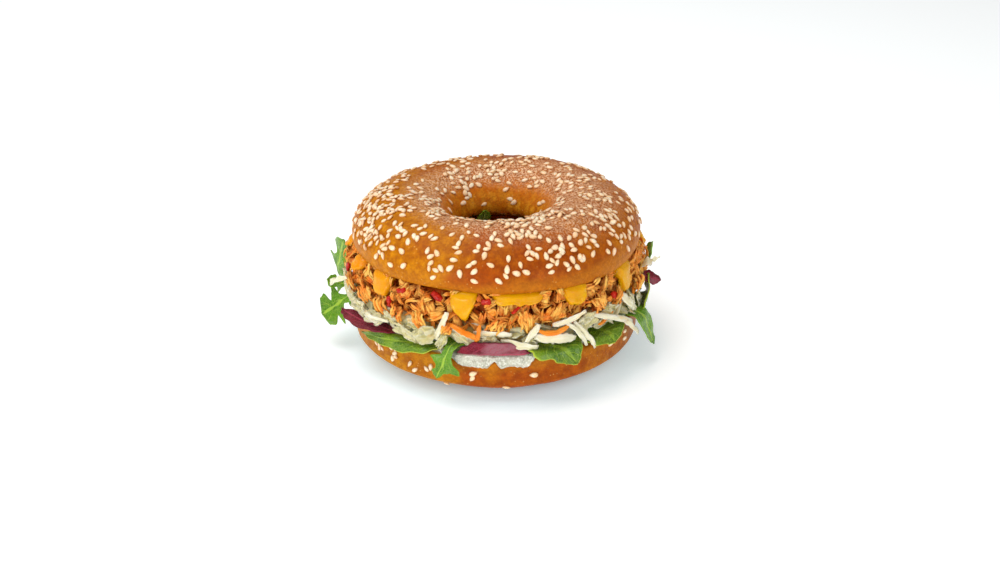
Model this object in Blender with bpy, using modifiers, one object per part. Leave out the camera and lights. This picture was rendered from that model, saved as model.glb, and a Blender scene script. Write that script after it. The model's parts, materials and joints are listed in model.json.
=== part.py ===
"""Sesame bagel sandwich, closed: a seeded crown and heel with soft cheese, salad leaves, slaw, pulled
chicken and melted cheese between them.

Every piece is shaped round the bagel's own upright axis, from the surface that the heel stands on.
All of them hang on one empty, which sets that axis at (BAGEL_X, BAGEL_Y), so that the origin is the
middle of the whole footprint, leaves included. Azimuths are in degrees round the axis: 0 is the front
(-Y) and 90 is the right (+X).
"""

import math
import random
from dataclasses import dataclass

import bmesh
import bpy
from mathutils import Matrix, Vector, noise

MM = 0.001

# Where the bagel's axis stands in the footprint.
BAGEL_X = 3.7 * MM
BAGEL_Y = -1.3 * MM

# Heights of the layers, from the surface up.
HEEL_TOP = 18.5 * MM
CREAM_TOP = 20.9 * MM
LEAF_LOW = 21.5 * MM
LEAF_STEP = 0.85 * MM
SLAW_LOW = 23.9 * MM
SLAW_TOP = 32.8 * MM
CHICKEN_LIP = 31.2 * MM
CHICKEN_LOW = 33.1 * MM
CHICKEN_TOP = 43.3 * MM
CHEESE_LOW = 43.6 * MM
CHEESE_TOP = 46.2 * MM
CROWN_LOW = 46.5 * MM
GAP = 0.3 * MM

# The bun: one ring, cut level into crown and heel.
BUN_R = 58.0 * MM
HOLE_R = 17.0 * MM
CREST_R = 37.7 * MM
CUT_OUTER_R = 57.0 * MM
CUT_INNER_R = 18.2 * MM
CROWN_WIDEST = 3.0 * MM
CROWN_DOME = 15.4 * MM
DOME_POWER = 1.8
HEEL_WIDEST = 8.1 * MM
HEEL_POWER = 1.71
HEEL_FLAT_OUTER_R = 28.0 * MM
HEEL_FLAT_INNER_R = 20.5 * MM
TURN_STEPS = 40
SHARP_DEGREES = 40
SLIVER = 0.005 * MM

# The fillings' rings.
CREAM_R = 56.2 * MM
SLAW_R = 57.2 * MM
CHICKEN_R = 56.8 * MM
CHICKEN_LIP_INNER_R = 55.5 * MM
CHEESE_R = 57.2 * MM
DRIP_OUT = 1.7 * MM
STRAND_MOST_R = 61.0 * MM
SHRED_MOST_R = 59.0 * MM
FILLING_HOLE_R = 18.8 * MM
CHEESE_HOLE_R = 24.0 * MM

# Sesame seeds.
SEED_LENGTH = 3.3 * MM
SEED_WIDTH = 2.0 * MM
SEED_THICKNESS = 1.1 * MM
CROWN_SEEDS = 56
HEEL_SEEDS = 12
SEED_SPACING = 4.6 * MM
GOLDEN_TURN = 137.508

# Slaw and chicken pieces.
LUMP = 6.0 * MM
LUMP_DEPTH = 1.3 * MM
STRAND_SPACING = 5.0 * MM
LIFT_AZIMUTH = 80.0
LIFT_HALF_WIDTH = 26.0
SHRED_TIP_R = 66.0 * MM
JUTTING_SHREDS = ((-80.5, 28.0), (84.0, 38.5), (150.0, 27.0))
CABBAGE_SHREDS = 19
CARROT_SHREDS = 7
CHICKEN_STRANDS = 34
PEPPER_PLACES = ((-45.6, 34.5), (-39.3, 40.5), (-3.5, 41.0), (5.5, 37.5), (51.5, 34.5), (118.0, 38.0))

LEAF_THICKNESS = 0.5 * MM
LEAF_BED_R = 47.0 * MM
WRAP_R = 58.0 * MM

# Melted cheese drips: azimuth, half width in degrees and height of the tip in millimetres.
DRIPS = (
    (-85.0, 6.0, 36.0),
    (-50.0, 6.0, 35.5),
    (-12.5, 6.6, 34.4),
    (7.5, 10.0, 41.2),
    (30.0, 7.0, 37.4),
    (60.0, 6.0, 33.0),
    (97.5, 6.0, 37.0),
    (130.0, 8.0, 40.5),
    (157.5, 6.0, 35.5),
    (-167.5, 8.0, 41.0),
    (-140.0, 6.0, 36.0),
    (-112.5, 6.5, 39.5),
)

LOBE_OUT = 3.6 * MM
LOBE_DOWN = 3.4 * MM
LOBE_ROOT = 6.0

# Soft cheese pushed out over the heel's edge: azimuth and half width in degrees, and how far it
# comes down, as a share of the longest lobe.
CREAM_LOBES = (
    (-2.5, 11.0, 0.9),
    (7.5, 11.0, 1.0),
    (-58.0, 8.0, 0.4),
    (52.0, 8.0, 0.35),
    (112.0, 11.0, 0.6),
    (-160.0, 12.0, 0.75),
    (-104.0, 9.0, 0.5),
)


def polar(azimuth, radius, height):
    """A point round the bagel's axis. Azimuth in degrees."""
    turn = math.radians(azimuth)
    return Vector((radius * math.sin(turn), -radius * math.cos(turn), height))


def azimuth_of(point):
    return math.degrees(math.atan2(point.x, -point.y))


def radius_of(point):
    return math.hypot(point.x, point.y)


def turned_by(azimuth, centre):
    """Signed angle from centre to azimuth, in degrees, between -180 and 180."""
    return (azimuth - centre + 180.0) % 360.0 - 180.0


def bump(distance, half_width):
    """1 in the middle, falling smoothly to 0 at half_width."""
    share = min(1.0, abs(distance) / half_width)
    return 0.5 + 0.5 * math.cos(math.pi * share)


def plateau(distance, half_width):
    """1 over the middle half, falling smoothly to 0 at half_width."""
    return bump(max(0.0, abs(distance) - half_width / 2), half_width / 2)


def material(name, colour, roughness):
    made = bpy.data.materials.new(name)
    made.use_nodes = True
    shader = made.node_tree.nodes["Principled BSDF"]
    shader.inputs["Base Color"].default_value = (*colour, 1.0)
    shader.inputs["Roughness"].default_value = roughness
    shader.inputs["Metallic"].default_value = 0.0
    return made


def object_from(bm, name, collection, finish):
    mesh = bpy.data.meshes.new(name)
    bm.to_mesh(mesh)
    bm.free()
    made = bpy.data.objects.new(name, mesh)
    collection.objects.link(made)
    if finish:
        mesh.materials.append(finish)
    return made


def apply_modifiers(obj):
    """Turns the modifiers' result into the object's own mesh."""
    graph = bpy.context.evaluated_depsgraph_get()
    mesh = bpy.data.meshes.new_from_object(obj.evaluated_get(graph))
    obj.modifiers.clear()
    obj.data = mesh


# Turned rings

def turned_ring(name, profile, collection, finish, steps=TURN_STEPS):
    """A closed (radius, height) profile, which runs down its outer side, turned about the bagel's axis."""
    bm = bmesh.new()
    corners = [bm.verts.new((radius, 0.0, height)) for radius, height in profile]
    for first, second in zip(corners, corners[1:] + corners[:1]):
        bm.edges.new((first, second))
    ring = object_from(bm, name, collection, finish)
    screw = ring.modifiers.new("turn", "SCREW")
    screw.steps = screw.render_steps = steps
    screw.use_merge_vertices = True
    screw.merge_threshold = 0.00001
    apply_modifiers(ring)
    return ring


def reshape(obj, move):
    """Moves each vertex to move(its place)."""
    for vertex in obj.data.vertices:
        vertex.co = move(vertex.co.copy())
    obj.data.update()


def rounded_power(share, power):
    """(across, up) on a quarter of a superellipse, share 0 at its side and 1 at its top."""
    turn = share * math.pi / 2
    return math.cos(turn) ** (2 / power), math.sin(turn) ** (2 / power)


# The bun

def hand_shaped(point):
    """The bun isn't quite round and its crest rises and falls a little, and all that it holds follows."""
    turn = math.radians(azimuth_of(point))
    radius = radius_of(point)
    out = min(1.0, max(0.0, (radius - HOLE_R) / (BUN_R - HOLE_R)))
    wide = 0.25 * math.cos(3 * turn) - 0.25 * math.cos(2 * turn) + 0.3 * math.sin(4 * turn)
    radius += out * MM * wide
    radius += (1 - out) * MM * (0.5 * math.sin(2 * turn + 2.0) + 0.4 * math.sin(5 * turn))
    up = max(0.0, point.z - CROWN_LOW - CROWN_WIDEST) / CROWN_DOME
    height = point.z + up * MM * (0.5 * math.sin(turn + 1.0) + 0.35 * math.sin(3 * turn))
    return polar(math.degrees(turn), radius, height)


def crown_section(share):
    """(radius, height) on the crown's crust, from its widest line outside at 0 to the hole at 1."""
    if share <= 0.5:
        across, up = rounded_power(share * 2, DOME_POWER)
        radius = CREST_R + (BUN_R - CREST_R) * across
    else:
        across, up = rounded_power((1 - share) * 2, DOME_POWER)
        radius = CREST_R - (CREST_R - HOLE_R) * across
    return radius, CROWN_LOW + CROWN_WIDEST + CROWN_DOME * up


def heel_section(share):
    """(radius, height) on the heel's side, from its flat base at 0 to its widest line at 1."""
    across, up = rounded_power(1 - share, HEEL_POWER)
    radius = HEEL_FLAT_OUTER_R + (BUN_R - HEEL_FLAT_OUTER_R) * across
    return radius, HEEL_WIDEST * (1 - up)


def crown_profile():
    """Down the outer side, in along the cut, and up through the hole to the crest."""
    outer_rows, inner_rows = 7, 6
    rows = [crown_section(0.5 * (1 - i / outer_rows)) for i in range(outer_rows + 1)]
    rows.append((BUN_R - 0.2 * MM, CROWN_LOW + 1.4 * MM))
    rows.append((CUT_OUTER_R, CROWN_LOW))
    rows.append((CUT_INNER_R, CROWN_LOW))
    rows += [crown_section(1 - 0.5 * i / inner_rows) for i in range(inner_rows)]
    return rows


def heel_profile():
    """Down the outer side from the cut, in along the flat base, and up through the hole."""
    rows = [(CUT_OUTER_R + 0.4 * MM, HEEL_TOP), (BUN_R, HEEL_TOP - 3.5 * MM)]
    rows += [heel_section(1 - i / 6) for i in range(7)]
    rows.append((HEEL_FLAT_INNER_R, 0.0))
    rows.append((HOLE_R + 1.2 * MM, 2.2 * MM))
    rows.append((HOLE_R, HEEL_TOP - 9.0 * MM))
    rows.append((CUT_INNER_R, HEEL_TOP))
    return rows


def surface_frame(place):
    """Axes at a point of a surface given as place(azimuth, share): along, across and outward."""
    def frame(azimuth, share):
        step = 0.01
        here = place(azimuth, share)
        along = (place(azimuth + 1.0, share) - here).normalized()
        across = (place(azimuth, share + step) - place(azimuth, share - step)).normalized()
        return here, along, across, along.cross(across).normalized()
    return frame


def crown_place(azimuth, share):
    return polar(azimuth, *crown_section(share))


def heel_place(azimuth, share):
    return polar(azimuth, *heel_section(share))


def seed_at(frame, azimuth, share, turn, collection):
    """One teardrop sesame seed, lying on the crust and sunk a little into it."""
    here, along, across, out = frame(azimuth, share)
    bm = bmesh.new()
    bmesh.ops.create_icosphere(bm, subdivisions=1, radius=1.0)
    for vertex in bm.verts:
        pointed = 1.0 - 0.38 * max(0.0, vertex.co.x)
        vertex.co.x *= SEED_LENGTH / 2
        vertex.co.y *= SEED_WIDTH / 2 * pointed
        vertex.co.z *= SEED_THICKNESS / 2
    axes = Matrix((along, across, out)).transposed().to_4x4()
    lift = Matrix.Translation(here + out * SEED_THICKNESS * 0.12)
    bm.transform(lift @ axes @ Matrix.Rotation(turn, 4, "Z"))
    object_from(bm, "seed", collection, None)
    return here


def merge_slivers(obj):
    """Closes the specks left where faces cross very near a corner."""
    bm = bmesh.new()
    bm.from_mesh(obj.data)
    bmesh.ops.remove_doubles(bm, verts=bm.verts[:], dist=SLIVER)
    bmesh.ops.dissolve_degenerate(bm, edges=bm.edges[:], dist=SLIVER)
    bmesh.ops.triangulate(bm, faces=bm.faces[:])
    bm.to_mesh(obj.data)
    bm.free()


def fused(core, collection):
    """Joins everything in the collection to the core, and removes it."""
    union = core.modifiers.new("fuse", "BOOLEAN")
    union.operation = "UNION"
    union.operand_type = "COLLECTION"
    union.collection = collection
    union.solver = "MANIFOLD"
    apply_modifiers(core)
    merge_slivers(core)
    for piece in list(collection.objects):
        bpy.data.objects.remove(piece)
    bpy.data.collections.remove(collection)


def helper_collection(name):
    made = bpy.data.collections.new(name)
    bpy.context.scene.collection.children.link(made)
    return made


def far_enough(place, others, spacing):
    return all((place - other).length > spacing for other in others)


def build_crown(parts, crust):
    """The top half, thickly seeded on its outside and crest, with a few seeds down in the hole."""
    crown = turned_ring("bagel_crown", crown_profile(), parts, crust)
    draw = random.Random(11)
    seeds = helper_collection("crown seeds")
    frame = surface_frame(crown_place)
    placed = []
    tries = 0
    while len(placed) < CROWN_SEEDS and tries < 20 * CROWN_SEEDS:
        azimuth = tries * GOLDEN_TURN + draw.uniform(-6, 6)
        share = 0.07 + 0.8 * draw.random() ** 0.9
        tries += 1
        if far_enough(crown_place(azimuth, share), placed, SEED_SPACING):
            turn = draw.uniform(0, math.tau)
            placed.append(seed_at(frame, azimuth, share, turn, seeds))
    fused(crown, seeds)


def build_heel(parts, crust):
    """The bottom half, with a flat base and a few seeds low on its side."""
    heel = turned_ring("bagel_heel", heel_profile(), parts, crust)
    draw = random.Random(5)
    seeds = helper_collection("heel seeds")
    frame = surface_frame(heel_place)
    for i in range(HEEL_SEEDS):
        azimuth = i * 360 / HEEL_SEEDS + draw.uniform(-8, 8)
        share = draw.uniform(0.66, 0.9)
        seed_at(frame, azimuth, share, draw.uniform(0, math.tau), seeds)
    fused(heel, seeds)


# Spreads and melted cheese

def lobe_share(azimuth, spread):
    """How far the soft cheese hangs over here, from 0 to 1, with each lobe this much wider."""
    return max(
        size * plateau(turned_by(azimuth, centre), half + spread)
        for centre, half, size in CREAM_LOBES
    )


def build_cream(parts, finish):
    """Soft cheese spread on the heel, with lobes pushed out over the crust's edge."""
    low = HEEL_TOP + GAP
    profile = [
        (CREAM_R - 2.0 * MM, CREAM_TOP),
        (CREAM_R - 0.2 * MM, CREAM_TOP - 0.6 * MM),
        (CREAM_R, low + 0.4 * MM),
        (CREAM_R - 0.1 * MM, low),
        (CREAM_R - 0.3 * MM, low),
        (FILLING_HOLE_R, low),
        (FILLING_HOLE_R, CREAM_TOP),
    ]
    cream = turned_ring("soft_cheese", profile, parts, finish, steps=72)

    def push_lobes(point):
        azimuth, radius = azimuth_of(point), radius_of(point)
        out = LOBE_OUT * min(1.0, 3 * lobe_share(azimuth, LOBE_ROOT))
        down = LOBE_DOWN * lobe_share(azimuth, 0)
        if radius > CREAM_R - 0.05 * MM:
            return polar(azimuth, radius + out, point.z - down)
        if radius > CREAM_R - 0.15 * MM:
            return polar(azimuth, radius + 0.7 * out, point.z - down)
        if radius > CREAM_R - 0.25 * MM:
            return polar(azimuth, radius + 0.85 * out, point.z - 0.15 * down)
        if radius > CREAM_R - 0.5 * MM:
            return polar(azimuth, radius + 0.7 * out, point.z)
        return point

    reshape(cream, push_lobes)


def drip_share(azimuth):
    """How fully a drip stands out here, from 0 to 1, and the height of the sheet's lower edge."""
    edge = CHEESE_LOW + 0.4 * MM
    lowest, fullest = edge, 0.0
    for centre, half, tip in DRIPS:
        share = bump(turned_by(azimuth, centre), half * 1.25) ** 0.7
        lowest = min(lowest, edge + share * (tip * MM - edge))
        fullest = max(fullest, share)
    return fullest, lowest


def build_cheese(parts, finish):
    """Melted cheese under the crown: a level sheet whose rim runs down over the chicken in drips."""
    edge = CHEESE_LOW + 0.4 * MM
    profile = [
        (CHEESE_R - 2.5 * MM, CHEESE_TOP),
        (CHEESE_R - 0.5 * MM, CHEESE_TOP - 0.4 * MM),
        (CHEESE_R, CHEESE_TOP - 1.4 * MM),
        (CHEESE_R - 0.1 * MM, edge),
        (CHEESE_R - 0.6 * MM, edge),
        (CHEESE_R - 0.8 * MM, edge),
        (CHEESE_R - 1.0 * MM, CHEESE_LOW),
        (CHEESE_HOLE_R, CHEESE_LOW),
        (CHEESE_HOLE_R + 0.5 * MM, CHEESE_TOP),
    ]
    sheet = turned_ring("melted_cheese", profile, parts, finish, steps=72)

    def run_down(point):
        azimuth, inset = azimuth_of(point), CHEESE_R - radius_of(point)
        share, lowest = drip_share(azimuth)
        fall = edge - lowest
        if inset < 0.05 * MM:
            return polar(azimuth, CHEESE_R + DRIP_OUT * share, point.z - 0.4 * fall)
        if inset < 0.3 * MM:
            radius = CHEESE_R + (DRIP_OUT + 0.8 * MM) * share
            return polar(azimuth, radius, point.z - fall + 0.9 * MM * share)
        if inset < 0.7 * MM and point.z < edge + 0.1 * MM:
            radius = CHEESE_R - 0.6 * MM + DRIP_OUT * share
            return polar(azimuth, radius, point.z - fall)
        return point

    reshape(sheet, run_down)


# Slaw and chicken

def slaw_profile():
    """A rounded outer face, set back at its top under the chicken's lip."""
    face = [
        (CHICKEN_LIP_INNER_R - 3.0 * MM, SLAW_TOP),
        (CHICKEN_LIP_INNER_R - 0.6 * MM, SLAW_TOP - 0.8 * MM),
        (CHICKEN_LIP_INNER_R - 0.4 * MM, CHICKEN_LIP - GAP),
        (SLAW_R, 0.5 * (SLAW_LOW + CHICKEN_LIP)),
        (SLAW_R - 2.0 * MM, SLAW_LOW),
    ]
    hole = [
        (FILLING_HOLE_R + 1.0 * MM, SLAW_LOW),
        (FILLING_HOLE_R, 0.5 * (SLAW_LOW + SLAW_TOP)),
        (FILLING_HOLE_R + 1.0 * MM, SLAW_TOP),
    ]
    return face + hole


def chicken_profile():
    """A rounded outer face, sagging at its foot in a lip over the slaw's edge."""
    face = [
        (CHICKEN_R - 3.5 * MM, CHICKEN_TOP),
        (CHICKEN_R - 1.0 * MM, CHICKEN_TOP - 1.3 * MM),
        (CHICKEN_R, 0.5 * (CHICKEN_LOW + CHICKEN_TOP)),
        (CHICKEN_R + 0.2 * MM, CHICKEN_LOW),
        (CHICKEN_R - 0.4 * MM, CHICKEN_LIP),
        (CHICKEN_LIP_INNER_R, CHICKEN_LIP + 0.2 * MM),
        (CHICKEN_LIP_INNER_R - 0.2 * MM, CHICKEN_LOW),
    ]
    hole = [
        (FILLING_HOLE_R + 1.0 * MM, CHICKEN_LOW),
        (FILLING_HOLE_R, 0.5 * (CHICKEN_LOW + CHICKEN_TOP)),
        (FILLING_HOLE_R + 1.0 * MM, CHICKEN_TOP),
    ]
    return face + hole


def raised_lip(azimuth):
    """How far the chicken's lip is lifted, where a leaf and a shred come out under it."""
    return plateau(turned_by(azimuth, LIFT_AZIMUTH), LIFT_HALF_WIDTH)


def near_drip(azimuth, height, margin):
    """True where a piece this high, reaching margin degrees to either side, would meet a drip."""
    return any(
        abs(turned_by(azimuth, centre)) < half * 1.25 + margin and height > (tip - 2.4) * MM
        for centre, half, tip in DRIPS
    )


def roughen_face(obj, least_r, most_r, low, top):
    """Lumps on a heap's face between two radii and two heights, and slighter ones in its hole."""
    def lump(point):
        azimuth, radius = azimuth_of(point), radius_of(point)
        relief = noise.noise(point / LUMP)
        if radius < least_r:
            if radius < FILLING_HOLE_R + 2.0 * MM:
                radius -= LUMP_DEPTH * 0.4 * relief
            return polar(azimuth, radius, point.z)
        outer = most_r if not near_drip(azimuth, point.z, 9) else CHICKEN_R
        share = min(1.0, (point.z - low) / (2 * MM), (top - point.z) / (2 * MM))
        radius += max(0.0, share) * LUMP_DEPTH * (0.5 + relief)
        return polar(azimuth, min(radius, max(outer, radius_of(point))), point.z)
    reshape(obj, lump)


def strip(length, width, depth, bend, collection, place, along, out):
    """A tapered strip of cabbage, carrot or meat, bent once, lying along `along` with its face `out`."""
    bm = bmesh.new()
    bmesh.ops.create_cube(bm, size=1.0)
    lengthways = [edge for edge in bm.edges if abs(edge.verts[0].co.x - edge.verts[1].co.x) > 0.5]
    bmesh.ops.subdivide_edges(bm, edges=lengthways, cuts=1)
    for vertex in bm.verts:
        taper = 1.0 - 0.5 * abs(vertex.co.x)
        arch = bend * (1 - 4 * vertex.co.x**2)
        vertex.co = Vector(
            (
                vertex.co.x * length,
                vertex.co.y * width * taper,
                vertex.co.z * depth * taper + arch,
            )
        )
    side = out.cross(along).normalized()
    axes = Matrix((along, side, out)).transposed().to_4x4()
    bm.transform(Matrix.Translation(place) @ axes)
    return object_from(bm, "strip", collection, None)


def keep_between(obj, low, top, least_r, most_r):
    """Holds a loose piece in its own layer, and clear of the hole and of what lies outside."""
    def held(point):
        radius = min(max(radius_of(point), least_r), most_r)
        return polar(azimuth_of(point), radius, min(max(point.z, low), top))
    reshape(obj, held)


def face_axes(azimuth, lean, toe):
    """Along and out for a piece on the outer face: lean is its slope, toe turns it outward, in degrees."""
    turn = math.radians(azimuth)
    tangent = Vector((math.cos(turn), math.sin(turn), 0.0))
    outward = Vector((math.sin(turn), -math.cos(turn), 0.0))
    up = Vector((0.0, 0.0, 1.0))
    slope, swing = math.radians(lean), math.radians(toe)
    along = tangent * math.cos(slope) * math.cos(swing) + up * math.sin(slope)
    along = (along + outward * math.sin(swing)).normalized()
    out = (outward - along * outward.dot(along)).normalized()
    return along, out


def build_slaw(parts, finish):
    """Slaw: a ring of packed shreds, with the cabbage and carrot that show fused on its face."""
    slaw = turned_ring("slaw", slaw_profile(), parts, finish)
    roughen_face(slaw, SLAW_R - 0.5 * MM, SLAW_R + 1.0 * MM, SLAW_LOW, CHICKEN_LIP)
    draw = random.Random(46)
    shreds = helper_collection("shreds")
    total = CABBAGE_SHREDS + CARROT_SHREDS
    for i in range(total):
        carrot = i % 4 == 2
        azimuth = i * 360 / total + draw.uniform(-3, 3)
        height = draw.uniform(SLAW_LOW + 1.6 * MM, CHICKEN_LIP - 1.6 * MM)
        along, out = face_axes(azimuth, draw.uniform(-22, 22), draw.uniform(-12, 12))
        length = draw.uniform(9, 13) * MM if carrot else draw.uniform(10, 17) * MM
        width = 2.0 * MM if carrot else draw.uniform(2.2, 3.4) * MM
        place = polar(azimuth, SLAW_R + draw.uniform(0.2, 1.0) * MM, height)
        piece = strip(length, width, 1.7 * MM, -0.6 * MM, shreds, place, along, out)
        keep_between(piece, SLAW_LOW, CHICKEN_LIP - GAP, CHICKEN_LIP_INNER_R, SHRED_MOST_R)
    for azimuth, tip_height in JUTTING_SHREDS:
        jutting_shred(azimuth, tip_height * MM, shreds)
    fused(slaw, shreds)


def jutting_shred(azimuth, tip_height, collection):
    """A cabbage shred that stands out past the bun's side."""
    root = polar(azimuth, SLAW_R - 4.0 * MM, SLAW_LOW + 4.2 * MM)
    tip = polar(azimuth, SHRED_TIP_R, tip_height)
    along = (tip - root).normalized()
    turn = math.radians(azimuth)
    side = Vector((math.cos(turn), math.sin(turn), 0.0))
    strip(
        (tip - root).length, 2.8 * MM, 1.6 * MM, 0.5 * MM, collection,
        (root + tip) / 2, along, along.cross(side).normalized(),
    )


def build_chicken(parts, finish):
    """Pulled chicken: a ring of packed meat, with torn strands and red pepper fused on its face."""
    chicken = turned_ring("pulled_chicken", chicken_profile(), parts, finish)

    def lift_lip(point):
        if point.z > CHICKEN_LOW - 0.1 * MM or radius_of(point) < CHICKEN_LIP_INNER_R - 0.1 * MM:
            return point
        height = point.z + (CHICKEN_LOW - 0.1 * MM - point.z) * raised_lip(azimuth_of(point))
        return polar(azimuth_of(point), radius_of(point), height)

    reshape(chicken, lift_lip)
    roughen_face(
        chicken, CHICKEN_R - 1.5 * MM, CHICKEN_R + 2.0 * MM, CHICKEN_LIP, CHICKEN_TOP
    )
    draw = random.Random(40)
    strands = helper_collection("strands")
    placed = []
    while len(placed) < CHICKEN_STRANDS:
        azimuth = draw.uniform(-180, 180)
        height = draw.uniform(CHICKEN_LIP + 1.4 * MM, CHICKEN_TOP - 2.0 * MM)
        place = polar(azimuth, CHICKEN_R + draw.uniform(0.3, 1.0) * MM, height)
        lifted = raised_lip(azimuth) > 0 and height < CHICKEN_LOW + 3 * MM
        crowded = not far_enough(place, placed, STRAND_SPACING)
        if near_drip(azimuth, height, 5) or lifted or crowded:
            continue
        placed.append(place)
        along, out = face_axes(azimuth, draw.uniform(-60, 60), draw.uniform(-14, 24))
        length, width = draw.uniform(6, 9.5) * MM, draw.uniform(1.8, 3.2) * MM
        piece = strip(length, width, 2.8 * MM, 0.4 * MM, strands, place, along, out)
        low = CHICKEN_LIP if raised_lip(azimuth) == 0 else CHICKEN_LOW
        keep_between(piece, low, CHICKEN_TOP, CHICKEN_LIP_INNER_R, STRAND_MOST_R)
    for azimuth, height in PEPPER_PLACES:
        along, out = face_axes(azimuth, 25, 0)
        place = polar(azimuth, CHICKEN_R + 0.2 * MM, height * MM)
        piece = strip(4.6 * MM, 3.0 * MM, 2.4 * MM, 0.3 * MM, strands, place, along, out)
    fused(chicken, strands)


# Leaves

@dataclass(frozen=True)
class Leaf:
    """One salad leaf: a flat outline laid on a sheet that lies level, then bends at the rim.

    azimuth, reach: where its stalk end lies: degrees, and millimetres from the bagel's axis
    heading: which way it grows: 0 straight out, 90 along the rim to the right, in degrees
    length, width: millimetres
    droop: the angle of the part past the rim: positive hangs, negative rises, in degrees
    rim, bend: where it bends, in millimetres from the axis, and the bend's radius
    level: which of the thin levels of the leaf layer it lies on
    twist: how far the part past the rim turns about its midrib, in degrees
    wave: how far its free part ripples to either side of the sheet, in millimetres
    """

    name: str
    kind: str
    azimuth: float
    reach: float
    heading: float
    length: float
    width: float
    droop: float
    rim: float = 59.0
    bend: float = 3.0
    level: float = 0
    twist: float = 0.0
    wave: float = 0.3


LEAVES = (
    Leaf("rocket_front", "rocket", -11.5, 50, -18, 22.5, 12.5, 78, 59.6, 2.0, 2),
    Leaf("spinach_front_left", "taper", -20.0, 57.0, -74, 41, 9.5, 76, 58.8, 2.0, 0),
    Leaf("red_leaf_front", "blade", -10.6, 59.4, 88, 20.5, 10.0, -78, 58.6, 1.5, 0),
    Leaf("spinach_front_right", "oval", 15.0, 49.5, 35, 23.5, 23.0, 74, 60.8, 2.0, 2, wave=0.1),
    Leaf("spinach_under", "oval", 28.5, 50, 0, 15.0, 11.0, 84, 58.2, 1.0, 0, wave=0.1),
    Leaf("spinach_right", "oval", 47.0, 50, 12, 14.5, 20.0, 58, 59.2, 2.5, 0),
    Leaf("rocket_right", "blade", 65.5, 50, 6, 31, 7.0, 74, 59.6, 5.0, 1),
    Leaf("red_leaf_left", "blade", -42.0, 57.0, -76, 32, 8.5, 10, 59.0, 2.0, 1),
    Leaf("rocket_left_low", "rocket", -82.0, 48, -4, 27, 16.0, 38, 58.8, 5.0, 0, -38.0),
    Leaf("rocket_left_small", "rocket", -88.0, 50, 0, 20, 8.0, -16, 59.4, 5.0, 2, -40.0),
    Leaf("rocket_left_tall", "rocket", -97.0, 49, 0, 32, 14.0, -106, 59.2, 6.0, 1, 50.0),
    Leaf("spinach_right_tall", "blade", 88.0, 50, 0, 22, 10.0, -84, 58.8, 2.0, 0),
    Leaf("red_leaf_right", "blade", 78.0, 55.8, 4, 12.0, 5.5, 12, 60.0, 4.0),
    Leaf("rocket_right_back", "rocket", 100.0, 49, -2, 27, 9.0, -78, 59.6, 3.5, 2),
    Leaf("spinach_right_back", "oval", 118.0, 48, 8, 19, 15.0, 52, 59.0, 2.5, 0),
    Leaf("rocket_back", "rocket", 142.0, 49, 10, 26, 13.0, 70, 59.2, 2.5, 2),
    Leaf("red_leaf_back", "blade", 150.0, 59.4, 84, 22, 9.0, -72, 58.6, 1.5, 1),
    Leaf("spinach_back", "oval", -166.0, 49, -10, 23, 20.0, 66, 59.8, 2.5, 2),
    Leaf("rocket_back_left", "rocket", -130.0, 49, -6, 26, 13.0, 52, 59.0, 3.0, 2),
    Leaf("rocket_in_hole", "oval", -165.0, 22.8, 180, 10, 7.0, -60, 19.5, 3.0),
)

# Leaves that don't lie in the leaf layer, and the heights that they lie at.
HIGHER_LEAVES = {
    "red_leaf_right": CHICKEN_LIP + 0.6 * MM,
    "rocket_in_hole": CHEESE_LOW + 0.3 * MM,
}

# Half of a leaf's outline: shares of its length, and of its greatest half width.
OUTLINES = {
    "rocket": (
        (0.0, 0.1), (0.3, 0.12), (0.42, 0.6), (0.49, 0.2), (0.6, 0.9),
        (0.69, 0.28), (0.83, 1.0), (0.94, 0.55), (1.0, 0.08),
    ),
    "oval": (
        (0.0, 0.08), (0.12, 0.5), (0.32, 0.92), (0.55, 1.0), (0.8, 0.74), (1.0, 0.06),
    ),
    "blade": (
        (0.0, 0.15), (0.1, 0.6), (0.3, 0.95), (0.52, 1.0), (0.74, 0.85), (0.9, 0.5), (1.0, 0.08),
    ),
    "taper": (
        (0.0, 0.15), (0.08, 0.7), (0.22, 1.0), (0.4, 0.92), (0.62, 0.65), (0.84, 0.35), (1.0, 0.08),
    ),
}
LOBE_SWEEP = 0.11


def drape(leaf, reach, side, low, lift):
    """A point of the leaf's flat outline, laid on the sheet that bends at the rim."""
    rim, bend = leaf.rim * MM, leaf.bend * MM
    way = 1 if rim > CREST_R else -1
    past = way * (reach - rim)
    down = 1 if leaf.droop >= 0 else -1
    most = math.radians(abs(leaf.droop))
    if past <= 0:
        radius, height, slope = reach, low, 0.0
    else:
        slope = min(most, past / bend)
        straight = max(0.0, past - most * bend)
        radius = rim + way * (bend * math.sin(slope) + straight * math.cos(most))
        fall = bend * (1 - math.cos(slope)) + straight * math.sin(most)
        height = low - down * fall
    radius += way * lift * math.sin(slope) * down
    height += lift * math.cos(slope)
    return polar(leaf.azimuth + math.degrees(side / WRAP_R), radius, height)


def half_width_at(outline, share):
    """The outline's half width at a share of its length, read between its points."""
    for (before, narrow), (after, wide) in zip(outline, outline[1:]):
        if share <= after:
            return narrow + (wide - narrow) * (share - before) / (after - before)
    return outline[-1][1]


def stations(leaf):
    """Shares of the length where the leaf is cut across: its outline's points and its bend's ends."""
    found = [share for share, _ in OUTLINES[leaf.kind]]
    outward = math.cos(math.radians(leaf.heading)) * leaf.length
    start = (leaf.rim - leaf.reach) / outward
    turned = leaf.bend * math.radians(abs(leaf.droop)) / outward
    for share in (start, start + turned / 2, start + turned):
        if 0.05 < share < 0.95 and all(abs(share - other) > 0.04 for other in found):
            found.append(share)
    return sorted(found)


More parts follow.
